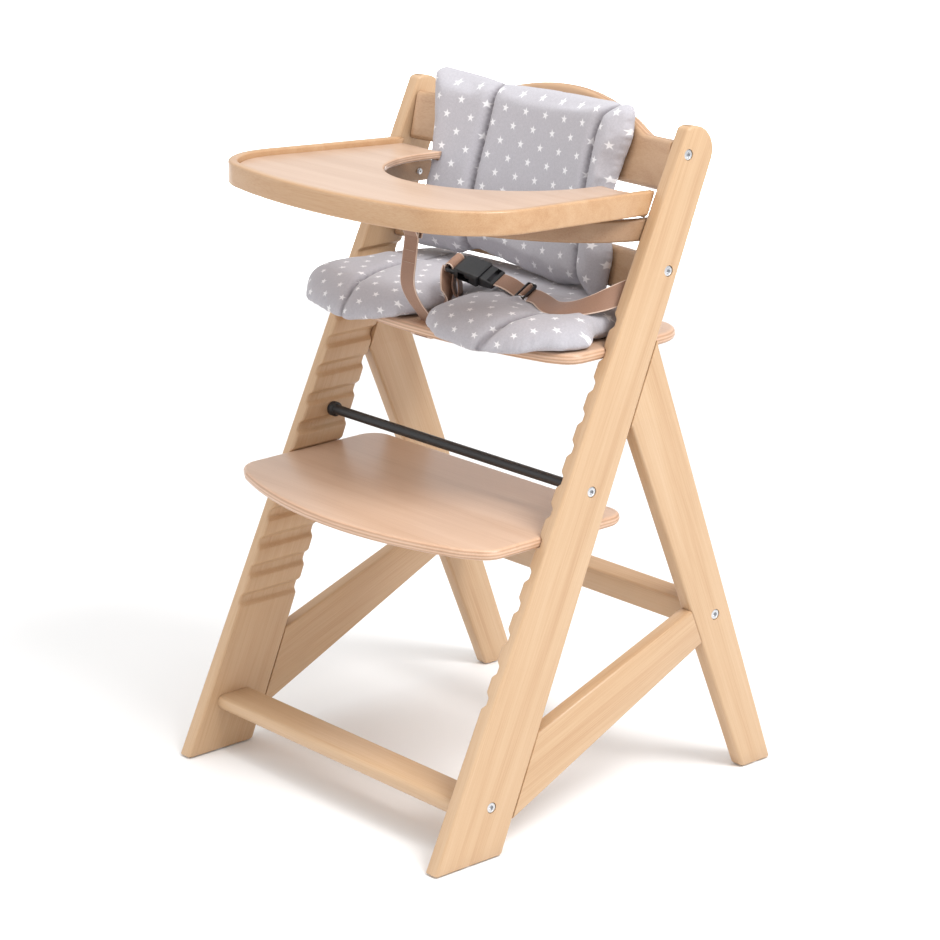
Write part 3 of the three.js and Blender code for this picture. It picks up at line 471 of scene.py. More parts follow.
def rear_rings():
    joint_low = meeting_height(rear_lean, heel_y - rear_width_at_floor)
    joint_high = meeting_height(rear_back_lean, heel_y)
    middle = groove_middle(seat_groove)
    levels = [floor_gap, floor_gap + 0.02, 0.25, joint_low - 0.002, joint_low, joint_low + 0.004]
    levels += list(np.linspace(joint_low + 0.02, middle - 0.0110, 4))
    levels += [middle + s * 0.001 for s in (-9.6, -8.6, -7.5, -6.4, -5.3, -4.2, -3.0)]
    levels += [z for z in (middle, middle + 0.002, middle + 0.004) if z < joint_high - 0.0015]
    levels.append(joint_high - 0.0012)
    rings = []
    for z in sorted(levels):
        y0 = max(heel_front(z), back_edge(z) + glue_line)
        y1 = heel_back(z)
        x0 = board_inner + milled(z, [seat_groove])
        front = edge_round if z < joint_low else 0.0005
        rings.append(
            ring(
                (x0, y0, z), (board_outer - x0, 0, 0), (0, y1 - y0, 0),
                (front, front, edge_round, edge_round),
            )
        )
    return rings


rear_angle = math.atan((rear_lean + rear_back_lean) / 2)
beech_rear = wood_finish(
    "beech_rear_legs", (0, -math.sin(rear_angle), math.cos(rear_angle)),
    beech_pale, beech_middle, beech_dark, origin=(0.9, 0.3, 0.2),
)
rear_right = bored(
    lofted("rear_leg_shaped_right", eased_foot(rear_rings())), head_holes(bolt_places[4:])
)
rear_left = mirror_of(rear_right, "rear_leg_shaped_left")
settle(rear_right, beech_rear, "beech", "frame", "rear_leg_right")
settle(rear_left, beech_rear, "beech", "frame", "rear_leg_left")

brace_ends = []
for side in (0, 1):
    low, high = floor_gap + brace_low[side], floor_gap + brace_high[side]
    if side:
        at, to = heel_front(low) - glue_line, heel_front(high) - glue_line
    else:
        at, to = back_edge(low) + glue_line, back_edge(high) + glue_line
    brace_ends.append(
        ring(
            (board_inner, at, low), (board_outer - board_inner, 0, 0), (0, to - at, high - low),
            [edge_round] * 4,
        )
    )
beech_brace = wood_finish(
    "beech_braces", (0, 0.93, 0.36), beech_pale, beech_middle, beech_dark, origin=(0.1, 0.7, 0.5)
)
brace_right = lofted("brace_shaped_right", soft_ends(brace_ends, 0.0005))
brace_left = mirror_of(brace_right, "brace_shaped_left")
settle(brace_right, beech_brace, "beech", "frame", "brace_right")
settle(brace_left, beech_brace, "beech", "frame", "brace_left")


# ---- Rails ----
# The front rail is a flat beech board near the floor with its front corners rounded over. The
# rear rail stands on edge between the rear legs. Both butt against the legs' inner faces.
rail_low, rail_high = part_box("front_rail")
front_rail = lofted(
    "front_rail_shaped",
    soft_ends(
        [
            ring(
                (x, rail_low.y, rail_low.z), (0, 0, rail_high.z - rail_low.z),
                (0, rail_high.y - rail_low.y, 0), (0.0078, 0.0078, 0.003, 0.003), steps=7,
            )
            for x in (rail_low.x, rail_high.x)
        ],
        0.0006,
    ),
)
beech_rail = wood_finish(
    "beech_rails", (1, 0, 0), beech_pale, beech_middle, beech_dark, origin=(0.4, 0.2, 0.9)
)
settle(front_rail, beech_rail, "beech", "frame", "front_rail")

back_low, back_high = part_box("rear_rail")
rail_middle = (back_low + back_high) / 2
tilt = math.atan(rear_lean)
rail_depth, rail_height = 0.022, 0.038
across = Vector((0, math.cos(tilt), math.sin(tilt))) * rail_depth
upward = Vector((0, -math.sin(tilt), math.cos(tilt))) * rail_height
rear_rail = lofted(
    "rear_rail_shaped",
    soft_ends(
        [
            ring(
                Vector((x, rail_middle.y, rail_middle.z)) - across / 2 - upward / 2,
                across, upward, [0.003] * 4,
            )
            for x in (back_low.x, back_high.x)
        ],
        0.0006,
    ),
)
settle(rear_rail, beech_rail, "beech", "frame", "rear_rail")


# ---- Tie rod ----
# A black powder-coated steel rod between the legs, with a wider collar at each end.
rod_low, rod_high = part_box("rod_collar_left")[0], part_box("rod_collar_right")[1]
rod_centre = (rod_low + rod_high) / 2
rod_radius, collar_radius, collar_length = 0.006, 0.009, 0.008


def round_ring(x, radius, sides=40):
    turns = [2 * math.pi * k / sides for k in range(sides)]
    return [
        Vector((x, rod_centre.y + radius * math.cos(a), rod_centre.z + radius * math.sin(a)))
        for a in turns
    ]


end_x = rod_high.x
profile = [
    (end_x, collar_radius - 0.0008), (end_x - 0.0006, collar_radius),
    (end_x - collar_length + 0.001, collar_radius), (end_x - collar_length, collar_radius - 0.001),
    (end_x - collar_length - 0.0004, rod_radius + 0.0006),
    (end_x - collar_length - 0.002, rod_radius),
    (end_x - 0.06, rod_radius), (0.06, rod_radius),
]
profile += [(-x, r) for x, r in reversed(profile)]
tie_rod = lofted("tie_rod_coated", [round_ring(x, r) for x, r in profile], sharp=math.radians(50))
black_coat, coat_tree, coat_surface = new_finish(
    "black_coat", 0.42, Metallic=0.0, Specular_IOR_Level=0.5, Base_Color=(0.016, 0.016, 0.018, 1)
)
fine_relief(coat_tree, coat_surface, fine_noise(coat_tree, 1400.0, 2.0), 0.25, 0.0002)
settle(
    tie_rod, black_coat, "black_metal", "frame", "tie_rod", "rod_collar_right", "rod_collar_left"
)


# ---- Bolts, bow screws and glides ----
# Ten zinc bolts with a hexagon socket sit in counterbores, five on each outer face. Two small
# screws hold the guard bow, and a thin felt disc is stuck under each foot.
head_height, head_recess, socket_across, socket_depth = 0.0034, 0.0005, 0.0052, 0.0026
screw_places = [
    (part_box(f"bow_screw_{side}")[0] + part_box(f"bow_screw_{side}")[1]) / 2
    for side in ("right", "left")
]
glide_radius, glide_thick = 0.008, floor_gap


def input_of(tree, name, kind, value):
    socket = tree.interface.new_socket(name, in_out="INPUT", socket_type=kind)
    socket.default_value = value
    return socket.identifier


def repeated(name, spots, template, finish):
    """Puts a template piece at every spot with Geometry Nodes, then makes it one plain mesh.
    A spot is (place, turn); the turn is an Euler rotation kept on the point."""
    mesh = bpy.data.meshes.new(name)
    mesh.from_pydata([tuple(p) for p, _ in spots], [], [])
    turns = mesh.attributes.new("turn", "FLOAT_VECTOR", "POINT")
    turns.data.foreach_set("vector", np.array([tuple(t) for _, t in spots], np.float32).ravel())
    piece = in_scene(name, mesh)
    tree = bpy.data.node_groups.new(name + "_layout", "GeometryNodeTree")
    tree.interface.new_socket("Geometry", in_out="INPUT", socket_type="NodeSocketGeometry")
    tree.interface.new_socket("Geometry", in_out="OUTPUT", socket_type="NodeSocketGeometry")
    size_id = input_of(tree, "Size", "NodeSocketFloat", 1.0)
    part_id = tree.interface.new_socket(
        "Template", in_out="INPUT", socket_type="NodeSocketObject"
    ).identifier
    start, end = tree.nodes.new("NodeGroupInput"), tree.nodes.new("NodeGroupOutput")
    info = node(tree, "GeometryNodeObjectInfo")
    spin = node(tree, "GeometryNodeInputNamedAttribute", data_type="FLOAT_VECTOR")
    spin.inputs["Name"].default_value = "turn"
    turned = node(tree, "FunctionNodeEulerToRotation")
    put = node(tree, "GeometryNodeInstanceOnPoints")
    real = node(tree, "GeometryNodeRealizeInstances")
    paint = node(tree, "GeometryNodeSetMaterial")
    paint.inputs["Material"].default_value = finish
    link = tree.links.new
    link(start.outputs["Geometry"], put.inputs["Points"])
    link(start.outputs["Template"], info.inputs["Object"])
    link(info.outputs["Geometry"], put.inputs["Instance"])
    link(start.outputs["Size"], put.inputs["Scale"])
    link(spin.outputs["Attribute"], turned.inputs["Euler"])
    link(turned.outputs["Rotation"], put.inputs["Rotation"])
    link(put.outputs["Instances"], real.inputs["Geometry"])
    link(real.outputs["Geometry"], paint.inputs["Geometry"])
    link(paint.outputs["Geometry"], end.inputs["Geometry"])
    layout = piece.modifiers.new("layout", "NODES")
    layout.node_group = tree
    layout[size_id] = 1.0
    layout[part_id] = template
    applied(piece)
    bpy.data.objects.remove(template)
    return piece


def turned_head(name, profile, sides=40, socket=0.0, deep=0.0):
    """A head turned about Z from (radius, height) steps, with a hexagon socket when asked."""
    rings = []
    for radius, height in profile:
        turns = [2 * math.pi * k / sides for k in range(sides)]
        rings.append([Vector((radius * math.cos(a), radius * math.sin(a), height)) for a in turns])
    head = lofted(name, rings, sharp=math.radians(35))
    if socket:
        hexagon = bmesh.new()
        bmesh.ops.create_cone(
            hexagon, cap_ends=True, segments=6, radius1=socket / 2 / math.cos(math.pi / 6),
            radius2=socket / 2 / math.cos(math.pi / 6), depth=2 * deep,
            matrix=Matrix.Translation((0, 0, profile[-1][1])),
        )
        mesh = bpy.data.meshes.new("key")
        hexagon.to_mesh(mesh)
        hexagon.free()
        combined(head, in_scene("key", mesh), math.radians(35))
    return head


zinc, zinc_tree, zinc_surface = new_finish(
    "zinc_plate", 0.3, Metallic=1.0, Base_Color=(0.62, 0.63, 0.65, 1)
)
zinc_haze = fine_noise(zinc_tree, 700.0, 3.0)
uneven_gloss(zinc_tree, zinc_surface, zinc_haze, 0.22, 0.42)
fine_relief(zinc_tree, zinc_surface, zinc_haze, 0.15, 0.0002)

bolt_profile = [
    (0.0030, -0.020), (0.0030, -0.0001), (0.0056, 0.0), (bolt_head, 0.0005),
    (bolt_head, head_height - 0.0009), (bolt_head - 0.0003, head_height - 0.0003),
    (bolt_head - 0.0009, head_height), (0.0038, head_height), (0.0036, head_height - 0.00015),
]
bolt_template = turned_head("bolt_template", bolt_profile, socket=socket_across, deep=socket_depth)
head_seat = board_outer - head_recess - head_height
bolt_spots = [((head_seat, p.y, p.z), (0, math.pi / 2, 0)) for p in bolt_places]
bolt_spots += [((-head_seat, p.y, p.z), (0, -math.pi / 2, 0)) for p in bolt_places]
bolts = repeated("frame_bolts", bolt_spots, bolt_template, zinc)
settle(
    bolts, zinc, "zinc", "frame",
    *[
        f"{where}_bolt_{side}"
        for where in ("upper_back", "lower_back", "rod", "front_rail", "rear_rail")
        for side in ("right", "left")
    ],
)

screw_profile = [
    (0.0024, -0.006), (0.0024, -0.0001), (0.0036, 0.0), (0.0040, 0.0006), (0.0036, 0.0018),
    (0.0024, 0.0026),
]
screw_template = turned_head("screw_template", screw_profile, sides=28, socket=0.0025, deep=0.0015)
bow_face = abs(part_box("bow_screw_right")[0].x) + 0.0030
screw_spots = [
    ((bow_face, screw_places[0].y, screw_places[0].z), (0, -math.pi / 2, 0)),
    ((-bow_face, screw_places[1].y, screw_places[1].z), (0, math.pi / 2, 0)),
]
bow_screws = repeated("bow_screws", screw_spots, screw_template, zinc)
settle(bow_screws, zinc, "zinc", "frame", "bow_screw_right", "bow_screw_left")

felt, felt_tree, felt_surface = new_finish("glide_felt", 0.95, Base_Color=(0.60, 0.58, 0.55, 1))
felt_fuzz = fine_noise(felt_tree, 2200.0, 3.0)
felt_tone = shaded_between(
    felt_tree, felt_fuzz, (0.0, (0.42, 0.40, 0.38)), (1.0, (0.78, 0.76, 0.73))
)
felt_tree.links.new(felt_tone, felt_surface.inputs["Base Color"])
fine_relief(felt_tree, felt_surface, felt_fuzz, 0.5, 0.0003)
glide_template = turned_head(
    "glide_template",
    [(glide_radius - 0.0004, 0), (glide_radius, 0.0004), (glide_radius, glide_thick)], sides=36,
)
glide_nodes = [f"{end}_glide_{side}" for end in ("front", "rear") for side in ("right", "left")]
glide_spots = []
for name in glide_nodes:
    low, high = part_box(name)
    glide_spots.append((((low.x + high.x) / 2, (low.y + high.y) / 2, 0), (0, 0, 0)))
glides = repeated("felt_glides", glide_spots, glide_template, felt)
settle(glides, felt, "felt", "frame", *glide_nodes)


# ---- Back boards ----
# Two boards of bent beech plywood, 18 mm thick, bolted between the front legs and leaning
# back 14 degrees. The upper one rises to a rounded crown; its long edges are rounded over.
board_lean = math.atan(0.249)
board_thick, board_bow = 0.018, 0.036
board_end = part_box("upper_back_board")[1].x
upper_low, upper_high, crown_rise, crown_half = -0.045, 0.013, 0.039, 0.162
lower_low, lower_high = -0.034, 0.013
behind = Vector((0, math.cos(board_lean), -math.sin(board_lean)))
up_board = Vector((0, math.sin(board_lean), math.cos(board_lean)))
ply_thick = 0.0125


def bow_at(x):
    return board_bow * (1 - (x / board_inner) ** 2)


def on_back(x, n, u, place=bolt_places[0]):
    """A point across x, n behind the plane of the bolts and u up along the leaning board."""
    return Vector((x, place.y, place.z)) + behind * n + up_board * u


def board_rings(place, low, high_at, count=60):
    rings = []
    for x in np.linspace(-board_end, board_end, count):
        slope = -2 * board_bow * x / board_inner**2
        stretch = math.hypot(1, slope)
        facing = (behind - Vector((slope, 0, 0))) / stretch
        start = on_back(x, bow_at(x), low, place) - facing * (board_thick / 2)
        start.x = max(min(start.x, board_end), -board_end)
        rings.append(
            ring(start, facing * board_thick, up_board * (high_at(x) - low), [0.0058] * 4, steps=5)
        )
    return rings


def board_depth(place):
    def depth_of(p):
        off = p - Vector((0, place.y, place.z))
        return off.dot(behind) - bow_at(p.x) + board_thick / 2
    return depth_of


def crown(x):
    near = max(1 - (x / crown_half) ** 2, 0)
    return upper_high + crown_rise * near**1.1


ply_pale, ply_middle, ply_dark = (0.550, 0.365, 0.225), (0.500, 0.315, 0.185), (0.430, 0.250, 0.138)
board_ply = wood_finish(
    "back_board_ply", (1, 0, 0), ply_pale, ply_middle, ply_dark, layered=board_thick,
    origin=(0.2, 0.5, 0.1)
)
upper_board = lofted(
    "upper_back_bent", soft_ends(board_rings(bolt_places[0], upper_low, crown), 0.0006),
    board_depth(bolt_places[0]),
)
lower_board = lofted(
    "lower_back_bent",
    soft_ends(board_rings(bolt_places[1], lower_low, lambda x: lower_high), 0.0006),
    board_depth(bolt_places[1]),
)
settle(upper_board, board_ply, "beech_ply", "frame", "upper_back_board")
settle(lower_board, board_ply, "beech_ply", "frame", "lower_back_board")


# ---- Guard bow ----
# A bar of laminated beech, 12 by 25 mm, bent to half an ellipse in front of the child, with
# a straight tab at each end screwed to the inside of a front leg. It tips up with the tray.
tray_tip = math.atan(0.06)
bow_thick, bow_tall, bow_reach, bow_tab = 0.012, 0.025, 0.161, 0.040
bow_half = board_inner - 0.0003 - bow_thick / 2
bow_base = floor_gap + 0.652
bow_tab_y = front_edge(bow_base + bow_tall) + 0.014
ahead = Vector((0, -math.cos(tray_tip), math.sin(tray_tip)))
above = Vector((0, math.sin(tray_tip), math.cos(tray_tip)))


def bow_point(x, out, up=0.0):
    return Vector((x, bow_tab_y, bow_base)) + ahead * out + above * up


def bow_rings(count=90):
    line = [(bow_half, -bow_tab), (bow_half, -bow_tab / 2)]
    line += [
        (bow_half * math.cos(a), bow_reach * math.sin(a)) for a in np.linspace(0, math.pi, count)
    ]
    line += [(-bow_half, -bow_tab / 2), (-bow_half, -bow_tab)]
    rings = []
    for i, (x, out) in enumerate(line):
        before, after = line[max(i - 1, 0)], line[min(i + 1, len(line) - 1)]
        way = Vector((after[0] - before[0], after[1] - before[1])).normalized()
        side = Vector((way.y, 0, 0)) + ahead * (-way.x)
        rings.append(
            ring(
                bow_point(x, out) - side * bow_thick / 2, side * bow_thick, above * bow_tall,
                [0.0035] * 4, steps=4,
            )
        )
    return rings


guard_bow = lofted("guard_bow_bent", soft_ends(bow_rings(), 0.0008))
# Painted shade: the bow's beech colours are set far darker than the rest of the beech, standing in
# for the shadow the tray casts on it.
bow_wood_painted_shade = wood_finish(
    "bow_wood_painted_shade", (1, 0, 0), (0.360, 0.228, 0.136), (0.322, 0.192, 0.108), (0.276, 0.154, 0.082),
    origin=(0.7, 0.5, 0.3),
)
settle(guard_bow, bow_wood_painted_shade, "beech_ply", "frame", "guard_bow")


# ---- Seat and footrest plates ----
# Two plates of 12.5 mm beech plywood with a gently curved front edge. All edges are rounded
# over, so the veneers show as light and dark lines. The seat has a slot for the crotch strap.
plate_edge = 0.0056


def rounded_outline(corners, steps=8):
    """A closed outline through (x, y, radius) corners."""
    points = []
    for i, (x, y, radius) in enumerate(corners):
        at = Vector((x, y))
        back = (Vector(corners[i - 1][:2]) - at).normalized()
        along = (Vector(corners[(i + 1) % len(corners)][:2]) - at).normalized()
        if not radius:
            points.append(at)
            continue
        half = back.angle(along) / 2
        centre = at + (back + along).normalized() * (radius / math.sin(half))
        start = at + back * (radius / math.tan(half)) - centre
        end = at + along * (radius / math.tan(half)) - centre
        sweep = math.pi - 2 * half
        for k in range(steps + 1):
            t = k / steps
            way = (start * math.sin((1 - t) * sweep) + end * math.sin(t * sweep)) / math.sin(sweep)
            points.append(centre + way)
    return points


def spaced(points, step):
    """The same closed outline with its points about step apart."""
    made = []
    for i, p in enumerate(points):
        q = points[(i + 1) % len(points)]
        parts = max(int((q - p).length / step), 1)
        made += [p.lerp(q, k / parts) for k in range(parts)]
    return made


def inset(points, by):
    """The outline moved inwards; it runs anticlockwise."""
    moved = []
    for i, p in enumerate(points):
        way = (points[(i + 1) % len(points)] - points[i - 1]).normalized()
        moved.append(p + Vector((-way.y, way.x)) * by)
    return moved


def panel(name, outline, low, thick, edge, place=Matrix.Identity(4), steps=6):
    """A flat plate with its outline's edge rounded over at the top and the bottom."""
    if sum(p.x * q.y - p.y * q.x for p, q in zip(outline, outline[1:] + outline[:1])) < 0:
        outline = outline[::-1]
    heights, pulls = [], []
    for k in range(steps + 1):
        a = math.pi / 2 * k / steps
        heights.append(edge * (1 - math.cos(a)))
        pulls.append(edge * (1 - math.sin(a)))
    heights += [thick - h for h in reversed(heights)]
    pulls += pulls[::-1]
    rings = []
    for h, by in zip(heights, pulls):
        rings.append([Vector((p.x, p.y, low + h)) for p in inset(outline, by)])
    n = len(outline)
    points = [p for r in rings for p in r]
    faces = skin_between(len(rings), n)
    cap_at = [Vector((p.x, p.y)) for p in rings[0]]
    _, _, caps, *_ = delaunay_2d_cdt(cap_at, [(k, (k + 1) % n) for k in range(n)], [], 1, 1e-7)
    faces += [tuple(reversed(c)) for c in caps]
    faces += [tuple(i + len(points) - n for i in c) for c in caps]
    piece = piece_of(name, points, faces, [p.z - low for p in points])
    piece.data.transform(place)
    return piece


def plate_corners(front, depth, arc, corner, rear_corner):
    radius = (plate_reach**2 + arc**2) / (2 * arc)
    spread = math.asin(plate_reach / radius) * 0.86
    made = []
    for a in np.linspace(-spread, spread, 25):
        made.append((radius * math.sin(a), front + radius * (1 - math.cos(a)), 0))
    made += [
        (plate_reach, front + arc + 0.006, corner), (plate_reach, front + depth, rear_corner),
        (-plate_reach, front + depth, rear_corner), (-plate_reach, front + arc + 0.006, corner),
    ]
    return made


plate_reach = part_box("seat_plate")[1].x
seat_low, seat_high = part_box("seat_plate")
foot_low, foot_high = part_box("footrest_plate")
seat_outline = spaced(
    rounded_outline(plate_corners(seat_low.y, seat_high.y - seat_low.y, 0.030, 0.028, 0.044)), 0.004
)
foot_outline = spaced(
    rounded_outline(plate_corners(foot_low.y, foot_high.y - foot_low.y, 0.050, 0.028, 0.028)), 0.004
)
plate_ply = wood_finish(
    "plate_ply", (1, 0, 0), (0.640, 0.455, 0.335), (0.600, 0.410, 0.290), (0.540, 0.350, 0.235),
    layered=ply_thick, rough=0.36, origin=(0.9, 0.1, 0.7),
)
seat_plate = panel(
    "seat_plate_rounded", seat_outline, seat_low.z, seat_high.z - seat_low.z, plate_edge
)
slot_y = seat_low.y + 0.022
slot_cutter = panel(
    "slot_cutter",
    rounded_outline([
        (-0.017, slot_y - 0.004, 0.0039), (0.017, slot_y - 0.004, 0.0039),
        (0.017, slot_y + 0.004, 0.0039), (-0.017, slot_y + 0.004, 0.0039),
    ]),
    seat_low.z - 0.01, 0.04, 0.0005,
)
combined(seat_plate, slot_cutter, math.radians(40))
foot_plate = panel(
    "footrest_plate_rounded", foot_outline, foot_low.z, foot_high.z - foot_low.z, plate_edge
)
settle(seat_plate, plate_ply, "beech_ply", "seat", "seat_plate")
settle(foot_plate, plate_ply, "beech_ply", "footrest", "footrest_plate")


# ---- Tray ----
# A rim of bent beech, 11 by 27 mm, glued round a 9 mm plywood board with a cut-out for the
# child. It tips up to the front; two small black pads under the board rest on the bow.
tray_height = floor_gap + 0.708
tray_back = front_edge(tray_height)
tray_place = Matrix.Translation((0, tray_back, tray_height)) @ Matrix.Rotation(-tray_tip, 4, "X")
rim_thick, rim_tall, rim_edge = 0.011, 0.027, 0.0030
tray_half, tray_splay, tray_reach = 0.227, 0.052, 0.309
tray_front_radius, tray_corner = 0.681, 0.097
board_drop, tray_board_thick = 0.007, 0.009
cutout_radius, cutout_back = 0.140, 0.023
leg_clearance = 0.0006


def tray_line(by, rear):
    """The tray's outline moved inwards: right side, corner arc, front arc, and mirrored."""
    cosine = 1 / math.hypot(1, tray_splay)
    centre = -tray_reach + tray_front_radius
    corner = tray_corner - by

    def side(y):
        return tray_half - tray_splay * y - by / cosine

    low, high = -tray_reach, 0.0
    for _ in range(50):
        y = (low + high) / 2
        if math.hypot(side(y) - corner / cosine, y - centre) > tray_front_radius - tray_corner:
            low = y
        else:
            high = y
    corner_x, corner_y = side(low) - corner / cosine, low
    first, last = math.atan2(tray_splay, 1), math.atan2(corner_y - centre, corner_x)
    half = [
        Vector((side(y), y))
        for y in np.linspace(rear, corner_y + corner * math.sin(first), 12)[:-1]
    ]
    for a in np.linspace(first, last, 26):
        half.append(Vector((corner_x + corner * math.cos(a), corner_y + corner * math.sin(a))))
    for a in np.linspace(last, -math.pi / 2, 22)[1:]:
        reach = tray_front_radius - by
        half.append(Vector((reach * math.cos(a), centre + reach * math.sin(a))))
    return half + [Vector((-p.x, p.y)) for p in reversed(half[:-1])]


def trimmed_at_legs(piece):
    """Cuts the tray's rear ends to the slant of the legs, with a hair of clearance."""
    for v in piece.data.vertices:
        v.co.y = min(v.co.y, front_edge(v.co.z) - leg_clearance)
    piece.data.update()
    return piece


outside, inside = tray_line(0.0, 0.03), tray_line(rim_thick, 0.03)
rim_rings = []
for p, q in zip(outside, inside):
    across_rim = Vector((q.x - p.x, q.y - p.y, 0))
    rim_rings.append(
        ring((p.x, p.y, -rim_tall), across_rim, (0, 0, rim_tall), [rim_edge] * 4, steps=5)
    )
tray_rim = lofted("tray_rim_bent", rim_rings)
tray_rim.data.transform(tray_place)
trimmed_at_legs(tray_rim)
rim_wood = wood_finish(
    "rim_wood", (1, 0, 0), (0.520, 0.335, 0.195), (0.475, 0.285, 0.152), (0.415, 0.230, 0.112),
    rough=0.34,
    origin=(0.3, 0.9, 0.6),
)
settle(tray_rim, rim_wood, "beech_ply", "tray", "tray_rim")

hole = [(cutout_radius, 0.04)]
hole += [
    (cutout_radius * math.cos(a), -cutout_back - cutout_radius * math.sin(a))
    for a in np.linspace(0, math.pi, 48)
]
hole.append((-cutout_radius, 0.04))
board_line = tray_line(rim_thick + 0.0004, 0.03)
board_line += [Vector((x, min(y, 0.03))) for x, y in reversed(hole)]
tray_board = panel(
    "tray_board_ply", spaced(board_line, 0.006), -board_drop - tray_board_thick, tray_board_thick,
    0.0028, tray_place,
)
trimmed_at_legs(tray_board)
tray_ply = wood_finish(
    "tray_ply", (1, 0, 0), (0.560, 0.405, 0.305), (0.520, 0.360, 0.260), (0.460, 0.305, 0.210),
    layered=tray_board_thick, rough=0.36, origin=(0.5, 0.3, 0.2),
)
settle(tray_board, tray_ply, "beech_ply", "tray", "tray_board")

plastic, plastic_tree, plastic_surface = new_finish(
    "black_nylon", 0.38, Specular_IOR_Level=0.5, Base_Color=(0.012, 0.012, 0.013, 1)
)
plastic_grain = fine_noise(plastic_tree, 2600.0, 2.0)
uneven_gloss(plastic_tree, plastic_surface, plastic_grain, 0.30, 0.50)
fine_relief(plastic_tree, plastic_surface, plastic_grain, 0.22, 0.0001)
clip_across, clip_along, clip_thick, clip_back = 0.016, 0.044, 0.004, 0.020
clip_x = bow_half - 0.052
for side, name in ((1, "right"), (-1, "left")):
    pad = panel(
        f"tray_pad_{name}",
        rounded_outline([
            (side * clip_x - clip_across / 2, -clip_along - clip_back, 0.003),
            (side * clip_x + clip_across / 2, -clip_along - clip_back, 0.003),
            (side * clip_x + clip_across / 2, -clip_back, 0.003),
            (side * clip_x - clip_across / 2, -clip_back, 0.003),
        ]),
        -board_drop - tray_board_thick - 0.0003 - clip_thick, clip_thick, 0.0008, tray_place,
    )
    settle(pad, plastic, "black_plastic", "tray", f"tray_clip_{name}")


# ---- Seat cushion ----
# A quilted cotton pad filled with fibre, printed with pale stars. It lies on the seat plate,
# hangs a little over its front edge, and is slit from the front for the crotch strap.
pad_thick, pad_seam_height = 0.029, 0.010
pad_rest = seat_high.z + 0.0006
seat_pad_edge = [
    (0.000, 0.004, 0.006), (0.014, -0.040, 0), (0.028, -0.078, 0.012), (0.066, -0.090, 0.020),
    (0.134, -0.088, 0.030), (0.190, -0.070, 0.040), (0.222, -0.034, 0.020), (0.232, 0.000, 0.012),
    (0.217, 0.022, 0.010), (0.214, 0.090, 0.020), (0.190, 0.134, 0.034), (0.0, 0.140, 0),
    (-0.190, 0.134, 0.034), (-0.214, 0.090, 0.020), (-0.217, 0.020, 0.010), (-0.234, -0.012, 0.014),
    (-0.232, -0.044, 0.018), (-0.196, -0.076, 0.030), (-0.142, -0.090, 0.040),
    (-0.098, -0.098, 0.030),
    (-0.060, -0.090, 0.020), (-0.030, -0.078, 0.012), (-0.015, -0.040, 0),
]
seat_pad_seams = [
    [(0.136, -0.092), (0.153, -0.060), (0.156, -0.020), (0.150, 0.050), (0.144, 0.140)],
    [(-0.108, -0.100), (-0.120, -0.060), (-0.134, -0.010), (-0.142, 0.060), (-0.144, 0.140)],
]


def smooth_line(points, count):
    """A smooth open curve through points of two or three numbers, as an array."""
    pts = np.array(points, float)
    padded = np.vstack([2 * pts[0] - pts[1], pts, 2 * pts[-1] - pts[-2]])
    made = []
    spans = len(pts) - 1
    for t in np.linspace(0, spans, count):
        i = min(int(t), spans - 1)
        f = t - i
        p0, p1, p2, p3 = padded[i : i + 4]
        made.append(
            0.5 * (2 * p1 + (p2 - p0) * f + (2 * p0 - 5 * p1 + 4 * p2 - p3) * f**2
                   + (3 * p1 - p0 - 3 * p2 + p3) * f**3)
        )
    return np.array(made)


def away_from(points, line, closed):
    """Distance of each point to the nearest part of a line."""
    line = np.array([tuple(p) for p in line])
    starts = line if closed else line[:-1]
    ends = np.roll(line, -1, axis=0) if closed else line[1:]
    near = np.full(len(points), 1e9)
    for a, b in zip(starts, ends):
        ab = b - a
        t = np.clip(((points - a) @ ab) / max(ab @ ab, 1e-12), 0, 1)
        near = np.minimum(near, np.linalg.norm(points - a - t[:, None] * ab, axis=1))
    return near


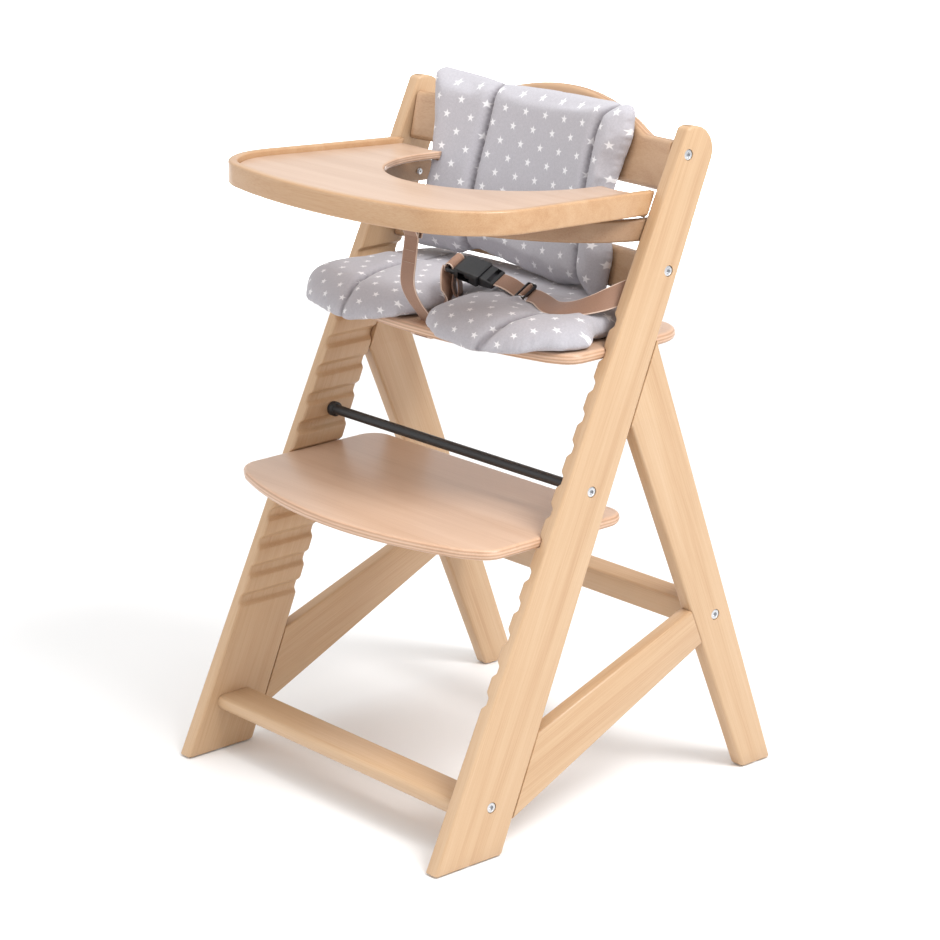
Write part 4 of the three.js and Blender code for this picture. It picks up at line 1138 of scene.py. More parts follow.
def sewn_pad(name, edge, seams, place, crown=0.034, valley=0.016, step=0.0045, pinch=0.42):
    """A stuffed pad cut to an edge, sewn along seams; place puts (x, y, height share) in space."""
    rim = spaced(rounded_outline(edge, 5), step)
    xs, ys = [p.x for p in rim], [p.y for p in rim]
    rim_array = np.array([tuple(p) for p in rim])
    grid = []
    for j, y in enumerate(np.arange(min(ys), max(ys), step * 0.87)):
        grid += [(x + step * 0.5 * (j % 2), y) for x in np.arange(min(xs), max(xs), step)]
    grid = np.array(grid)
    inside = np.zeros(len(grid), bool)
    for (x0, y0), (x1, y1) in zip(rim_array, np.roll(rim_array, -1, axis=0)):
        crosses = (y0 > grid[:, 1]) != (y1 > grid[:, 1])
        if y0 != y1:
            inside ^= crosses & (grid[:, 0] < (x1 - x0) * (grid[:, 1] - y0) / (y1 - y0) + x0)
    grid = grid[inside & (away_from(grid, rim_array, True) > step * 0.55)]
    n = len(rim)
    flat = [Vector(p) for p in rim] + [Vector(p) for p in grid]
    loop = [(i, (i + 1) % n) for i in range(n)]
    points, _, faces, *_ = delaunay_2d_cdt(flat, loop, [], 1, 1e-6)
    flat = np.array([tuple(p) for p in points])
    from_edge = away_from(flat, rim_array, True)
    full = np.sqrt(np.clip(1 - (1 - np.clip(from_edge / crown, 0, 1)) ** 2, 0, 1))
    # Painted shade: a value that peaks along each seam, used to darken the cloth in the pinched
    # seam valleys.
    seam_painted_shade = np.zeros(len(flat))
    for seam in seams:
        from_seam = away_from(flat, seam, False)
        seam_painted_shade = np.maximum(seam_painted_shade, np.exp(-((from_seam / 0.0030) ** 2)))
        near = np.clip(from_seam / valley, 0, 1)
        full *= pinch + (1 - pinch) * np.sqrt(1 - (1 - near) ** 2)
    on_rim = from_edge < 1e-5
    top = [place(x, y, f, 1) for (x, y), f in zip(flat, full)]
    twin, low = {}, []
    for i, ((x, y), f) in enumerate(zip(flat, full)):
        if on_rim[i]:
            twin[i] = i
        else:
            twin[i] = len(top) + len(low)
            low.append(place(x, y, f, -1))
    skin = [tuple(f) for f in faces]
    skin += [tuple(twin[i] for i in reversed(f)) for f in faces]
    pad = piece_of(name, top + low, skin, sharp=math.radians(180), weld=0)
    # Keep the painted seam shade on the points for the cloth finish.
    dark = pad.data.attributes.new("seam_painted_shade", "FLOAT", "POINT")
    values = np.zeros(len(top) + len(low), np.float32)
    for i, value in enumerate(seam_painted_shade):
        values[i] = values[twin[i]] = value
    dark.data.foreach_set("value", values)
    return pad


def on_seat(x, y, full, side):
    """Height over the seat plate, with the front and the outer corners hanging down."""
    middle = pad_rest + pad_seam_height
    rise = (pad_thick - pad_seam_height) * full if side > 0 else -pad_seam_height * full
    plate_arc, reach, front_drop, corner_drop, leg_inside, leg_front = (
        0.030, 0.030, 0.013, 0.007, 0.205, 0.015
    )
    front = seat_low.y + plate_arc * (x / plate_reach) ** 2
    over = max(front - y, 0) / reach
    beyond = max(abs(x) - leg_inside, 0) / reach * (1 if y < leg_front else 0)
    z = middle + rise
    return Vector((x, y, z - front_drop * min(over, 1.6) ** 1.3 - corner_drop * beyond**1.2))


def plumped(pad, cap, keep_above=None, growth=-0.035):
    """Blows the pad up a little as cloth so that it wrinkles, then limits how far it moved."""
    last_frame, stiffness = 20, 22
    before = np.zeros(len(pad.data.vertices) * 3)
    pad.data.vertices.foreach_get("co", before)
    before = before.reshape(-1, 3)
    cloth = pad.modifiers.new("cloth", "CLOTH")
    cloth.settings.use_pressure = True
    cloth.settings.uniform_pressure_force = 4.0
    cloth.settings.effector_weights.gravity = 0
    cloth.settings.quality = 5
    cloth.settings.mass = 0.15
    cloth.settings.tension_stiffness = stiffness
    cloth.settings.compression_stiffness = stiffness
    cloth.settings.bending_stiffness = 0.35
    cloth.settings.shrink_min = cloth.settings.shrink_max = growth
    cloth.point_cache.frame_start, cloth.point_cache.frame_end = 1, last_frame
    for moment in range(1, last_frame + 1):
        bpy.context.scene.frame_set(moment)
    seen = pad.evaluated_get(bpy.context.evaluated_depsgraph_get())
    after = np.zeros(len(before) * 3)
    seen.to_mesh().vertices.foreach_get("co", after)
    after = after.reshape(-1, 3)
    seen.to_mesh_clear()
    pad.modifiers.clear()
    moved = after - before
    far = np.linalg.norm(moved, axis=1, keepdims=True)
    moved *= np.minimum(1, cap / np.maximum(far, 1e-9))
    after = before + moved
    if keep_above is not None:
        after = keep_above(after, before)
    pad.data.vertices.foreach_set("co", after.ravel())
    pad.data.update()
    bpy.context.scene.frame_set(1)
    return pad


def refined(pad):
    """One subdivision, applied."""
    smooth = pad.modifiers.new("smooth", "SUBSURF")
    smooth.levels = smooth.render_levels = 1
    applied(pad)
    pad.data.shade_smooth()
    return pad


def rest_on_plate(after, before):
    over_plate = (before[:, 1] > seat_low.y + 0.012) & (abs(before[:, 0]) < 0.2)
    after[over_plate, 2] = np.maximum(after[over_plate, 2], pad_rest)
    at_legs = before[:, 1] > 0.014
    after[at_legs, 0] = np.clip(after[at_legs, 0], -board_inner + 0.003, board_inner - 0.003)
    return after


def sums_in(tree):
    """A function that adds one sum on shader values or plain numbers to a finish."""
    def number(operation, *inputs):
        made = node(tree, "ShaderNodeMath", operation=operation)
        for slot_at, value in enumerate(inputs):
            if isinstance(value, (int, float)):
                made.inputs[slot_at].default_value = value
            else:
                tree.links.new(value, made.inputs[slot_at])
        return made.outputs["Value"]
    return number


def star_cloth(name, across, upward, origin):
    """Grey woven cotton with staggered five-pointed stars printed on it, and painted shade along
    the seams.
    """
    finish, tree, surface = new_finish(
        name, 0.92, Sheen_Weight=0.25, Sheen_Roughness=0.5, Specular_IOR_Level=0.25
    )
    link, number = tree.links.new, sums_in(tree)
    pitch_x, pitch_y, star, thread_pitch = 0.034, 0.0190, 0.0052, 0.0010
    at = node(tree, "ShaderNodeTexCoord")
    wobble = node(tree, "ShaderNodeTexNoise", Scale=14.0, Detail=1.0)
    link(at.outputs["Object"], wobble.inputs["Vector"])

    def along(direction):
        lay = node(tree, "ShaderNodeVectorMath", operation="DOT_PRODUCT")
        link(at.outputs["Object"], lay.inputs[0])
        lay.inputs[1].default_value = direction
        return lay.outputs["Value"]

    u = number("SUBTRACT", along(across), origin[0])
    v = number("SUBTRACT", along(upward), origin[1])
    row = number("FLOOR", number("DIVIDE", v, pitch_y))
    odd = number("MODULO", number("ABSOLUTE", row), 2.0)
    u_row = number("ADD", number("DIVIDE", u, pitch_x), number("MULTIPLY", odd, 0.5))
    cell = number("FLOOR", u_row)
    du = number("MULTIPLY", number("SUBTRACT", number("SUBTRACT", u_row, cell), 0.5), pitch_x)
    dv = number(
        "MULTIPLY", number("SUBTRACT", number("SUBTRACT", number("DIVIDE", v, pitch_y), row), 0.5),
        pitch_y
    )
    chance = node(tree, "ShaderNodeTexWhiteNoise", noise_dimensions="2D")
    where = node(tree, "ShaderNodeCombineXYZ")
    link(cell, where.inputs["X"])
    link(row, where.inputs["Y"])
    link(where.outputs["Vector"], chance.inputs["Vector"])
    spin = number("MULTIPLY", number("SUBTRACT", chance.outputs["Value"], 0.5), 0.5)
    angle = number("ADD", number("ARCTAN2", du, dv), spin)
    reach = number("SQRT", number("ADD", number("MULTIPLY", du, du), number("MULTIPLY", dv, dv)))
    wedge = 2 * math.pi / 5
    fold = number(
        "ABSOLUTE",
        number(
            "SUBTRACT", number("FLOORED_MODULO", number("ADD", angle, wedge / 2), wedge), wedge / 2
        ),
    )
    inner = 0.42 * star
    edge_x, edge_y = inner * math.cos(wedge / 2) - star, inner * math.sin(wedge / 2)
    length = math.hypot(edge_x, edge_y)
    normal_x, normal_y = edge_y / length, -edge_x / length
    px = number("MULTIPLY", reach, number("COSINE", fold))
    py = number("MULTIPLY", reach, number("SINE", fold))
    gap = number(
        "ADD", number("MULTIPLY", number("SUBTRACT", px, star), normal_x),
        number("MULTIPLY", py, normal_y)
    )
    print_mask = node(
        tree, "ShaderNodeMapRange", From_Min=-0.0004, From_Max=0.0004, To_Min=1.0, To_Max=0.0
    )
    link(gap, print_mask.inputs["Value"])

    warp = number("SINE", number("MULTIPLY", along(across), 2 * math.pi / thread_pitch))
    weft = number("SINE", number("MULTIPLY", along(upward), 2 * math.pi / thread_pitch))
    weave = number("MULTIPLY", number("ADD", number("MULTIPLY", warp, weft), 1.0), 0.5)
    slub = node(tree, "ShaderNodeTexNoise", Scale=420.0, Detail=3.0)
    link(at.outputs["Object"], slub.inputs["Vector"])
    grain = number(
        "ADD", number("MULTIPLY", weave, 0.5), number("MULTIPLY", slub.outputs["Fac"], 0.5)
    )
    ground = shaded_between(
        tree, grain, (0.25, (0.37, 0.355, 0.385)), (0.8, (0.50, 0.485, 0.515))
    )
    printed = node(tree, "ShaderNodeMix", data_type="RGBA")
    printed.inputs["B"].default_value = (0.86, 0.85, 0.86, 1)
    faded = number(
        "MULTIPLY", print_mask.outputs["Result"],
        number("ADD", number("MULTIPLY", grain, 0.35), 0.62)
    )
    link(faded, printed.inputs["Factor"])
    link(ground, printed.inputs["A"])
    # Painted shade: the colour is multiplied darker along the seams, where the pinched cloth falls
    # into shade.
    seam = node(tree, "ShaderNodeAttribute", attribute_name="seam_painted_shade")
    seam_shaded = node(tree, "ShaderNodeMix", data_type="RGBA", blend_type="MULTIPLY")
    seam_shaded.inputs["B"].default_value = (0.42, 0.40, 0.41, 1)
    link(seam.outputs["Fac"], seam_shaded.inputs["Factor"])
    link(printed.outputs["Result"], seam_shaded.inputs["A"])
    link(seam_shaded.outputs["Result"], surface.inputs["Base Color"])
    soft = number(
        "ADD", number("MULTIPLY", grain, 0.3), number("MULTIPLY", wobble.outputs["Fac"], 0.7)
    )
    fine_relief(tree, surface, soft, 0.35, 0.0010)
    return finish


buckle_along = Vector((0.88, 0.34, -0.25)).normalized()
buckle_across = Vector((0.1, -0.28, 0.95)).cross(buckle_along).normalized()
buckle_out = buckle_along.cross(buckle_across)
buckle_at = Vector((0.0333, 0.0094, 0.5963))
buckle_place = Matrix.Translation(buckle_at) @ Matrix(
    [[buckle_along[i], buckle_across[i], buckle_out[i]] for i in range(3)]
).to_4x4()


def at_buckle(x, y=0.0, z=0.0):
    return buckle_place @ Vector((x, y, z))


slider_x, slider_long, slider_wide = 0.048, 0.012, 0.031
waist_path = [
    tuple(at_buckle(0.0155, 0, -0.0026)), tuple(at_buckle(0.0172, 0, 0.0006)),
    tuple(at_buckle(0.022, 0, 0.0020)),
    tuple(at_buckle(0.034, 0, 0.0012)), tuple(at_buckle(0.046, 0, -0.0022)),
    tuple(at_buckle(0.0500, 0, -0.0012)),
    tuple(at_buckle(0.0540, 0, 0.0028)), tuple(at_buckle(0.0580, 0, -0.0012)),
    tuple(at_buckle(0.0620, 0, -0.0022)),
    (0.112, 0.026, 0.5785), (0.145, 0.014, 0.5775), (0.178, 0.014, 0.5825), (0.205, 0.030, 0.5915),
    (board_inner - 0.0014, 0.0600, 0.6040),
]
belt_line = smooth_line(waist_path, 120)


def pressed(pad):
    """The belt and its slider hold the top of the seat pad down along their line."""
    slider_end, under_slider, under_belt, half_held = 0.072, 0.0080, 0.0042, 0.016
    count = len(pad.data.vertices)
    points = np.zeros(count * 3)
    pad.data.vertices.foreach_get("co", points)
    points = points.reshape(-1, 3)
    gap = np.linalg.norm(points[:, None, :2] - belt_line[None, :, :2], axis=2)
    nearest = gap.argmin(axis=1)
    aside = gap[np.arange(count), nearest]
    along_belt = belt_line[nearest, 0]
    clear = np.where(along_belt < slider_end, under_slider, under_belt)
    ceiling = belt_line[nearest, 2] - clear + 0.30 * np.maximum(aside - half_held, 0)
    reached = (along_belt > 0.045) & (aside < 0.06)
    points[reached, 2] = np.minimum(points[reached, 2], ceiling[reached])
    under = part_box("lower_back_board")[0]
    slope = under.z - 0.002 + 0.8 * np.maximum(under.y - 0.024 - points[:, 1], 0)
    points[:, 2] = np.minimum(points[:, 2], slope)
    pad.data.vertices.foreach_set("co", points.ravel())
    pad.data.update()
    return pad


seat_pad = sewn_pad(
    "seat_cushion_sewn", seat_pad_edge, [smooth_line(s, 40) for s in seat_pad_seams], on_seat
)
seat_pad = refined(pressed(plumped(seat_pad, 0.006, rest_on_plate)))
seat_star = star_cloth("star_cloth_seat", (1, 0, 0), (0, 1, 0.8), (0.004, 0.470))
settle(seat_pad, seat_star, "star_cloth", "seat", "seat_cushion")


# ---- Back cushion ----
# The same quilted cotton: a middle panel on the upper and lower boards and a narrower side
# panel sewn to each edge of it, which turns forward towards the legs.
back_pad_thick = 0.027
back_pad_edge = [
    (-0.182, -0.166, 0.012), (-0.114, -0.171, 0.020), (-0.086, -0.164, 0.010), (0.0, -0.175, 0),
    (0.060, -0.180, 0), (0.102, -0.174, 0.008), (0.142, -0.190, 0.007), (0.150, -0.130, 0.030),
    (0.132, -0.075, 0.030), (0.146, 0.010, 0.020), (0.138, 0.047, 0.018), (0.114, 0.046, 0.008),
    (0.096, 0.048, 0.006), (0.0, 0.049, 0), (-0.084, 0.046, 0.006), (-0.120, 0.047, 0),
    (-0.184, 0.047, 0.010), (-0.173, -0.070, 0.030),
]
back_pad_seams = [
    [(-0.085, 0.052), (-0.087, 0.0), (-0.095, -0.080), (-0.096, -0.176)],
    [(0.122, 0.052), (0.102, 0.024), (0.096, -0.020), (0.097, -0.080), (0.104, -0.178)],
]


def on_boards(x, u, full, side):
    """Lies on the bent boards; the side panels stand off them towards their outer edges."""
    turned = max(abs(x - 0.009) - 0.100, 0) / 0.070
    off = 0.0100 + 0.006 * min(turned, 1.2) ** 1.5
    middle = bow_at(x) - off - 0.010
    n = middle - (back_pad_thick - 0.010) * full if side > 0 else middle + 0.010 * full
    return on_back(x, n, u)


def rest_on_boards(after, before):
    off = after - np.array((0, bolt_places[0].y, bolt_places[0].z))
    n = off @ np.array(behind)
    bow = board_bow * (1 - (after[:, 0] / board_inner) ** 2) - board_thick / 2 - 0.0006
    push = np.minimum(bow - n, 0)
    return after + push[:, None] * np.array(behind)


back_pad = sewn_pad(
    "back_cushion_sewn", back_pad_edge, [smooth_line(s, 40) for s in back_pad_seams], on_boards,
    crown=0.030, valley=0.014, pinch=0.10,
)
back_pad = refined(plumped(back_pad, 0.006, rest_on_boards))
back_star = star_cloth("star_cloth_back", (1, 0, 0), tuple(up_board), (0.010, 0.74))
settle(
    back_pad, back_star, "star_cloth", "frame", "back_cushion", "back_cushion_wing_right",
    "back_cushion_wing_left"
)


# ---- Harness webbing ----
# Brown polyester webbing, 25 mm wide and 1.6 mm thick, with paler selvedges. One strap runs
# from a sewn loop on the guard bow down through the slot in the seat, and one rises to the buckle.
web_wide, web_thick = 0.025, 0.0016
bow_front = bow_point(0, bow_reach, bow_tall / 2)


def strap(name, path, widths, wide=web_wide, count=90):
    """A flat strap along a path; widths give the direction across it at even steps."""
    centre = smooth_line(path, count)
    across = smooth_line(widths, count)
    run = np.concatenate([[0], np.cumsum(np.linalg.norm(np.diff(centre, axis=0), axis=1))])
    along = np.gradient(centre, axis=0)
    along /= np.linalg.norm(along, axis=1, keepdims=True)
    across -= np.sum(across * along, axis=1, keepdims=True) * along
    across /= np.linalg.norm(across, axis=1, keepdims=True)
    face = np.cross(along, across)
    steps = np.array((-0.5, -0.46, -0.3, -0.1, 0.1, 0.3, 0.46, 0.5))
    lift = np.array((0.30, 0.5, 0.5, 0.5, 0.5, 0.5, 0.5, 0.30))
    points, uvs = [], []
    for i in range(count):
        for side in (1, -1):
            row = range(len(steps)) if side > 0 else reversed(range(len(steps)))
            for k in row:
                points.append(
                    centre[i] + across[i] * steps[k] * wide + face[i] * lift[k] * web_thick * side
                )
                uvs.append((run[i], steps[k] * wide))
    n = 2 * len(steps)
    faces = skin_between(count, n)
    faces += [tuple(range(n)), tuple(range(len(points) - n, len(points)))]
    piece = piece_of(name, points, faces, sharp=math.radians(70), weld=0)
    layer = piece.data.uv_layers.new(name="web")
    for polygon in piece.data.polygons:
        for corner in polygon.loop_indices:
            layer.data[corner].uv = uvs[piece.data.loops[corner].vertex_index]
    return piece


def web_finish():
    """Flat woven tape: a fine chevron of threads, and a paler bound edge on both sides."""
    finish, tree, surface = new_finish(
        "brown_webbing", 0.62, Sheen_Weight=0.2, Sheen_Roughness=0.4, Specular_IOR_Level=0.4
    )
    link, number = tree.links.new, sums_in(tree)
    row_pitch, cord_pitch, selvedge = 0.0016, 0.0013, 0.0113
    where = node(tree, "ShaderNodeUVMap", uv_map="web")
    axes = node(tree, "ShaderNodeSeparateXYZ")
    link(where.outputs["UV"], axes.inputs["Vector"])

    side = number("ABSOLUTE", axes.outputs["Y"])
    rows = number("SINE", number("MULTIPLY", axes.outputs["X"], 2 * math.pi / row_pitch))
    cords = number("SINE", number("MULTIPLY", axes.outputs["Y"], 2 * math.pi / cord_pitch))
    weave = number("ADD", number("MULTIPLY", number("MULTIPLY", rows, cords), 0.5), 0.5)
    slub = node(tree, "ShaderNodeTexNoise", Scale=900.0, Detail=2.0)
    link(where.outputs["UV"], slub.inputs["Vector"])
    grain = number(
        "ADD", number("MULTIPLY", weave, 0.6), number("MULTIPLY", slub.outputs["Fac"], 0.4)
    )
    thread = shaded_between(
        tree, grain, (0.2, (0.20, 0.105, 0.066)), (0.85, (0.38, 0.225, 0.155))
    )
    bound = node(tree, "ShaderNodeMapRange", From_Min=selvedge, From_Max=selvedge + 0.0005)
    link(side, bound.inputs["Value"])
    edged = node(tree, "ShaderNodeMix", data_type="RGBA")
    edged.inputs["B"].default_value = (0.62, 0.47, 0.38, 1)
    link(bound.outputs["Result"], edged.inputs["Factor"])
    link(thread, edged.inputs["A"])
    link(edged.outputs["Result"], surface.inputs["Base Color"])
    fine_relief(tree, surface, grain, 0.5, 0.0003)
    return finish


webbing = web_finish()


def hung(piece, top, foot, *nodes):
    """A strap: gives it the webbing, hides its plain solids and bakes its place into its mesh. The
    top and foot are not used.
    """
    piece.data.materials.append(webbing)
    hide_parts(*nodes)
    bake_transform(piece)


def bow_turn(out, up):
    return tuple(bow_front + ahead * out + above * up)


half_bow, half_tall = bow_thick / 2 + 0.0016, bow_tall / 2 + 0.0016
loop_path = [
    bow_turn(-0.0030, -half_tall - 0.014), bow_turn(-half_bow * 0.8, -half_tall - 0.003),
    bow_turn(-half_bow, -half_tall + 0.004), bow_turn(-half_bow, half_tall - 0.004),
    bow_turn(-half_bow + 0.003, half_tall), bow_turn(half_bow - 0.003, half_tall),
    bow_turn(half_bow, half_tall - 0.004), bow_turn(half_bow, -half_tall + 0.004),
    bow_turn(half_bow * 0.8, -half_tall - 0.003), bow_turn(0.0005, -half_tall - 0.014),
]
bow_loop = strap("bow_loop_sewn", loop_path, [(1, 0, 0), (1, 0, 0)], count=80)
settle(bow_loop, webbing, "webbing", "frame", "bow_loop")

front_path = [
    bow_turn(0.0014, -half_tall - 0.004), bow_turn(0.0016, -half_tall - 0.016), (0, -0.0732, 0.622),
    (0, -0.0765, 0.602), (0, -0.0745, 0.588), (0, -0.0670, 0.573), (0, -0.0560, 0.558),
    (0, -0.0500, 0.549),
    (0, -0.0478, 0.541), (0, -0.0474, 0.534),
]
crotch_front = strap("crotch_strap_front_woven", front_path, [(1, 0, 0), (1, 0, 0)])
hung(crotch_front, (0, -0.0732, 0.622), (0, -0.0500, 0.549), "crotch_strap_front")


def stitch():
    """One short stitch of thread along X."""
    rings = [
        ring((x, -half, -half), (0, 2 * half, 0), (0, 0, 2 * half), [half * 0.9] * 4, steps=2)
        for x, half in (
            (-0.0009, 0.00010), (-0.0006, 0.00024), (0.0006, 0.00024), (0.0009, 0.00010),
        )
    ]
    return lofted("stitch", rings)


thread_finish, _, _ = new_finish("tan_thread", 0.6, Base_Color=(0.52, 0.38, 0.29, 1))
seam_rows = ((-0.0734, 0.6345), (-0.0741, 0.6205))
stitch_places = [
    ((-0.0104 + 0.0026 * k, y - 0.0009, z), (0, 0, 0)) for y, z in seam_rows for k in range(9)
]
stitches = repeated("crotch_strap_stitches", stitch_places, stitch(), thread_finish)
settle(stitches, thread_finish, "webbing", "frame")

bar_x = -0.0405
bar = at_buckle(bar_x)
rear_path = [
    (0, -0.0436, 0.534), (0, -0.0432, 0.545), (0.001, -0.0380, 0.555), (0.002, -0.0270, 0.563),
    (-0.001, -0.0190, 0.573), (-0.004, -0.0150, 0.586), tuple(at_buckle(bar_x - 0.0055, 0, -0.008)),
    tuple(at_buckle(bar_x - 0.0058, 0, -0.001)), tuple(at_buckle(bar_x - 0.0035, 0, 0.0052)),
    tuple(at_buckle(bar_x + 0.0015, 0, 0.0058)), tuple(at_buckle(bar_x + 0.0048, 0, 0.0020)),
    tuple(at_buckle(bar_x + 0.0030, 0, -0.0045)),
]
twist = [(1, 0, 0), (1, 0, 0), (0.95, -0.15, 0), (0.75, -0.5, -0.1), (0.45, -0.75, -0.2)]
twist += [tuple(-buckle_across)] * 8
crotch_rear = strap("crotch_strap_rear_woven", rear_path, twist, count=140)
hung(crotch_rear, (-0.004, -0.0150, 0.586), (0, -0.0432, 0.545), "crotch_strap_rear")

anchor_path = [
    (0, slot_y - 0.014, seat_low.z - 0.0022), (0, slot_y - 0.004, seat_low.z - 0.0022),
    (0, slot_y + 0.004, seat_low.z - 0.0022), (0, slot_y + 0.014, seat_low.z - 0.0022),
]
strap_anchor = strap(
    "strap_anchor_woven", anchor_path, [(1, 0, 0), (1, 0, 0)], wide=0.038, count=20
)
settle(strap_anchor, webbing, "webbing", "seat", "strap_anchor")

tail_side = Vector((0.63, 0.77, 0)).normalized()
tail_top = at_buckle(bar_x + 0.004, -0.004, -0.005)


def tail_point(aside, down):
    return tuple(tail_top + tail_side * aside - Vector((0, 0, down)))


tail_path = [
    tail_point(0.0000, 0.000), tail_point(-0.0012, 0.008), tail_point(-0.0022, 0.018),
    tail_point(-0.0010, 0.026),
    tail_point(0.0016, 0.0300), tail_point(0.0044, 0.0280), tail_point(0.0046, 0.018),
    tail_point(0.0032, 0.008),
    tail_point(0.0026, 0.001),
]
webbing_tail = strap(
    "webbing_tail_woven", tail_path, [(0.60, -0.75, 0.25), (0.60, -0.75, 0.25)], wide=0.022
)
hung(webbing_tail, tail_point(0.001, 0.004), tail_point(0.0016, 0.028), "webbing_tail")

waist_across = [tuple(buckle_across)] * 9
waist_across += [
    (-0.25, 0.92, 0.15), (-0.2, 0.85, 0.30), (-0.15, 0.75, 0.50), (-0.1, 0.62, 0.68),
    (-0.05, 0.55, 0.75)
]
waist = strap("waist_strap_woven", waist_path, waist_across, count=150)
waist.data.materials.append(webbing)
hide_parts("waist_strap", "waist_strap_tail")
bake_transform(waist)


# ---- Buckle and slider ----
# Black moulded nylon. The socket has a bar for the crotch strap and a window at each side for
# the plug's two sprung latches; the plug and the three-bar slider carry the waist strap.
def moulded(name, sections, edge=0.0012, place=buckle_place):
    """A moulding lofted along the belt from (x, half width, low, high) sections."""
    rings = [
        ring((x, -half, low), (0, 2 * half, 0), (0, 0, high - low), [edge] * 4, steps=4)
        for x, half, low, high in sections
    ]
    piece = lofted(name, soft_ends(rings, edge * 0.7), sharp=math.radians(45))
    piece.data.transform(place)
    return piece


def carved(piece, blocks, place=buckle_place, edge=0.0008):
    """Cuts rounded blocks, each (low corner, high corner), out of a moulding."""
    for low, high in blocks:
        tool = lofted(
            "tool",
            soft_ends(
                [
                    ring(
                        (x, low[1], low[2]), (0, high[1] - low[1], 0),
                        (0, 0, high[2] - low[2]), [edge] * 4, steps=3,
                    )
                    for x in (low[0], high[0])
                ],
                edge * 0.6,
            ),
        )
        tool.data.transform(place)
        combined(piece, tool, math.radians(45))
    return piece


def joined(name, first, other):
    """Unites two mouldings into one closed piece."""
    combined(first, other, math.radians(45), "UNION")
    first.name = name
    return first


shell = moulded(
    "shell",
    [
        (-0.034, 0.0150, -0.0045, 0.0045), (-0.030, 0.0168, -0.0060, 0.0062),
        (-0.024, 0.0176, -0.0068, 0.0070), (-0.010, 0.0172, -0.0068, 0.0070),
        (-0.004, 0.0180, -0.0070, 0.0072), (0.000, 0.0180, -0.0070, 0.0072),
    ],
    edge=0.0026,
)
carved(shell, [
    ((-0.030, -0.0158, -0.0046), (0.004, 0.0158, 0.0046)),
    ((-0.026, -0.022, -0.0042), (-0.011, 0.022, 0.0042)),
])
bar_frame = carved(
    moulded(
        "arm_block", [(-0.0425, 0.0172, -0.0019, 0.0019), (-0.0300, 0.0172, -0.0022, 0.0022)],
        edge=0.0009
    ),
    [((-0.0395, -0.0140, -0.004), (-0.0345, 0.0140, 0.004))], edge=0.0006,
)
socket_piece = joined("buckle_socket_moulded", shell, bar_frame)
settle(socket_piece, plastic, "black_plastic", "frame", "buckle_socket")

plug_body = moulded(
    "plug_body",
    [
        (0.0004, 0.0152, -0.0052, 0.0056), (0.006, 0.0152, -0.0052, 0.0056),
        (0.012, 0.0148, -0.0044, 0.0048), (0.0185, 0.0150, -0.0032, 0.0034),
    ],
    edge=0.0016,
)
carved(plug_body, [
    ((0.0098, -0.0132, -0.01), (0.0148, 0.0132, 0.01)),
])
tongue = moulded(
    "tongue",
    [
        (-0.018, 0.0030, -0.0020, 0.0020), (-0.012, 0.0036, -0.0025, 0.0025),
        (0.0015, 0.0036, -0.0025, 0.0025)
    ]
)
plug_piece = joined("buckle_plug_moulded", plug_body, tongue)
settle(plug_piece, plastic, "black_plastic", "plug", "buckle_plug")

latch_out, latch_deep = 0.0118, 0.0048
latch_steps = (
    (-0.0200, 0.0002, 0.0012), (-0.0185, 0.0010, 0.0020), (-0.0130, 0.0016, 0.0018),
    (-0.0080, 0.0004, 0.0015), (0.0, 0.0, 0.0015),
)
for name, side in (("upper", 1), ("lower", -1)):
    rings = [
        ring(
            (x, side * (latch_out + out) - half, -latch_deep / 2), (0, 2 * half, 0),
            (0, 0, latch_deep), [0.0007] * 4, steps=3,
        )
        for x, out, half in latch_steps
    ]
    latch = lofted(f"buckle_latch_{name}_moulded", soft_ends(rings, 0.0005), sharp=math.radians(45))
    latch.data.transform(buckle_place)
    settle(latch, plastic, "black_plastic", f"latch_{name}", f"buckle_latch_{name}")

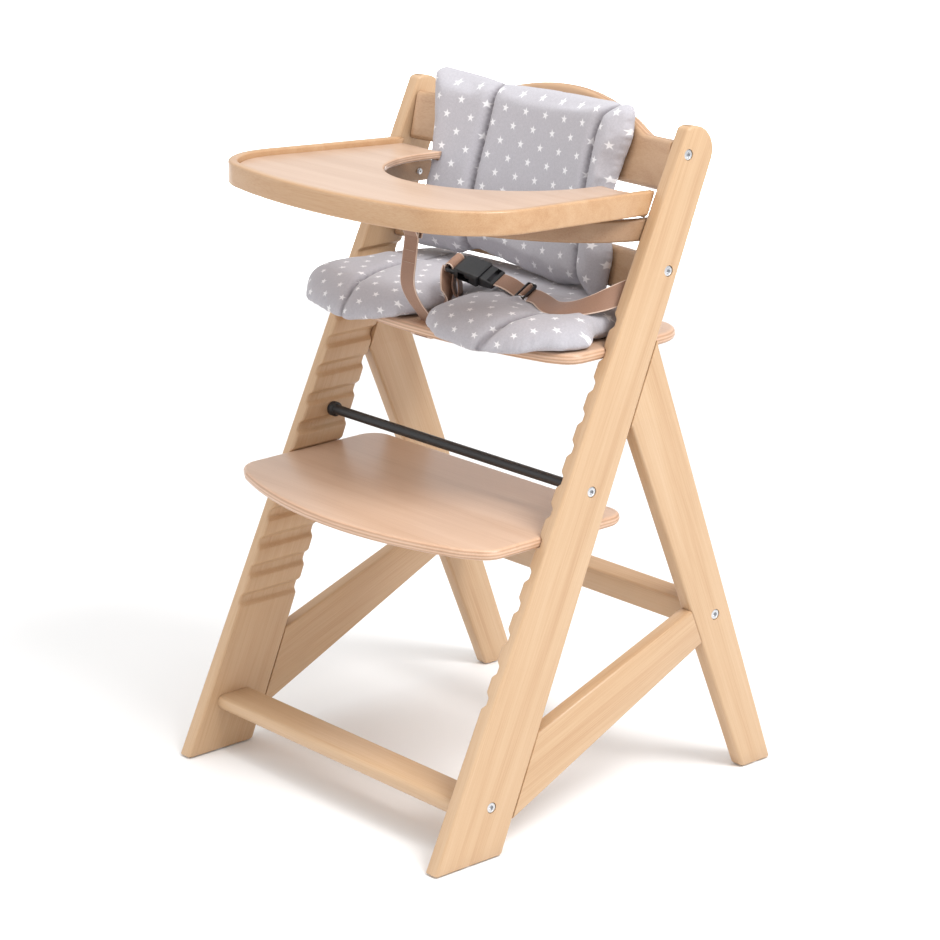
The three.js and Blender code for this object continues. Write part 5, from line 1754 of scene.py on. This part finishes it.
slider_piece = moulded(
    "strap_slider_moulded",
    [
        (slider_x, slider_wide / 2, -0.0016, 0.0016),
        (slider_x + 0.002, slider_wide / 2, -0.0025, 0.0025),
        (slider_x + slider_long - 0.002, slider_wide / 2, -0.0025, 0.0025),
        (slider_x + slider_long, slider_wide / 2, -0.0016, 0.0016),
    ],
    edge=0.0008,
)
carved(slider_piece, [
    ((slider_x + 0.0018, -0.0134, -0.01), (slider_x + 0.0048, 0.0134, 0.01)),
    ((slider_x + 0.0072, -0.0134, -0.01), (slider_x + 0.0102, 0.0134, 0.01)),
])
settle(slider_piece, plastic, "black_plastic", "plug", "strap_slider")


# ---- Floor, light and camera ----
# A plain pale floor in a white room, one strong soft light from the right and above with
# weaker ones round it, and a long lens from the front right, above the chair.
floor_mesh = bpy.data.meshes.new("studio_floor")
floor_mesh.from_pydata([(-12, -12, 0), (12, -12, 0), (12, 12, 0), (-12, 12, 0)], [], [(0, 1, 2, 3)])
studio_floor = in_scene("studio_floor", floor_mesh)
floor_finish, _, _ = new_finish("studio_white", 0.85, Base_Color=(0.90, 0.90, 0.90, 1))
floor_mesh.materials.append(floor_finish)

world = bpy.data.worlds.new("studio_air")
bpy.context.scene.world = world
world.use_nodes = True
world.node_tree.nodes["Background"].inputs["Color"].default_value = (1.0, 1.0, 1.0, 1)
world.node_tree.nodes["Background"].inputs["Strength"].default_value = 0.85


def soft_light(name, place, target, size, power, colour=(1, 1, 1)):
    lamp = bpy.data.lights.new(name, "AREA")
    lamp.shape, lamp.size, lamp.energy, lamp.color = "DISK", size, power, colour
    holder = in_scene(name, lamp)
    holder.location = place
    holder.rotation_euler = (Vector(target) - Vector(place)).to_track_quat("-Z", "Y").to_euler()
    return holder


soft_light("key_light", (2.5, 0.3, 3.3), (0, 0, 0.4), 1.6, 118)
soft_light("top_light", (0.2, -0.4, 3.4), (0, 0, 0.4), 1.8, 26)
soft_light("fill_light", (-1.6, -3.2, 1.6), (0, 0, 0.4), 2.2, 16)
soft_light("backdrop_light", (-2.6, 2.1, 2.4), (-6.5, 5.3, 0), 3.0, 420)

camera = in_scene("camera", bpy.data.cameras.new("camera"))
bpy.context.scene.camera = camera
camera.data.sensor_width = 36
camera.data.lens = 121.37
camera_turn = Vector((-1.1738, -0.5756, -0.7379))
to_camera = Matrix.Rotation(camera_turn.length, 3, camera_turn.normalized())
camera_place = Matrix.Translation((2.73605, -2.22797, 1.44576))
camera.matrix_world = camera_place @ to_camera.transposed().to_4x4()
bpy.context.scene.view_settings.view_transform = "Standard"
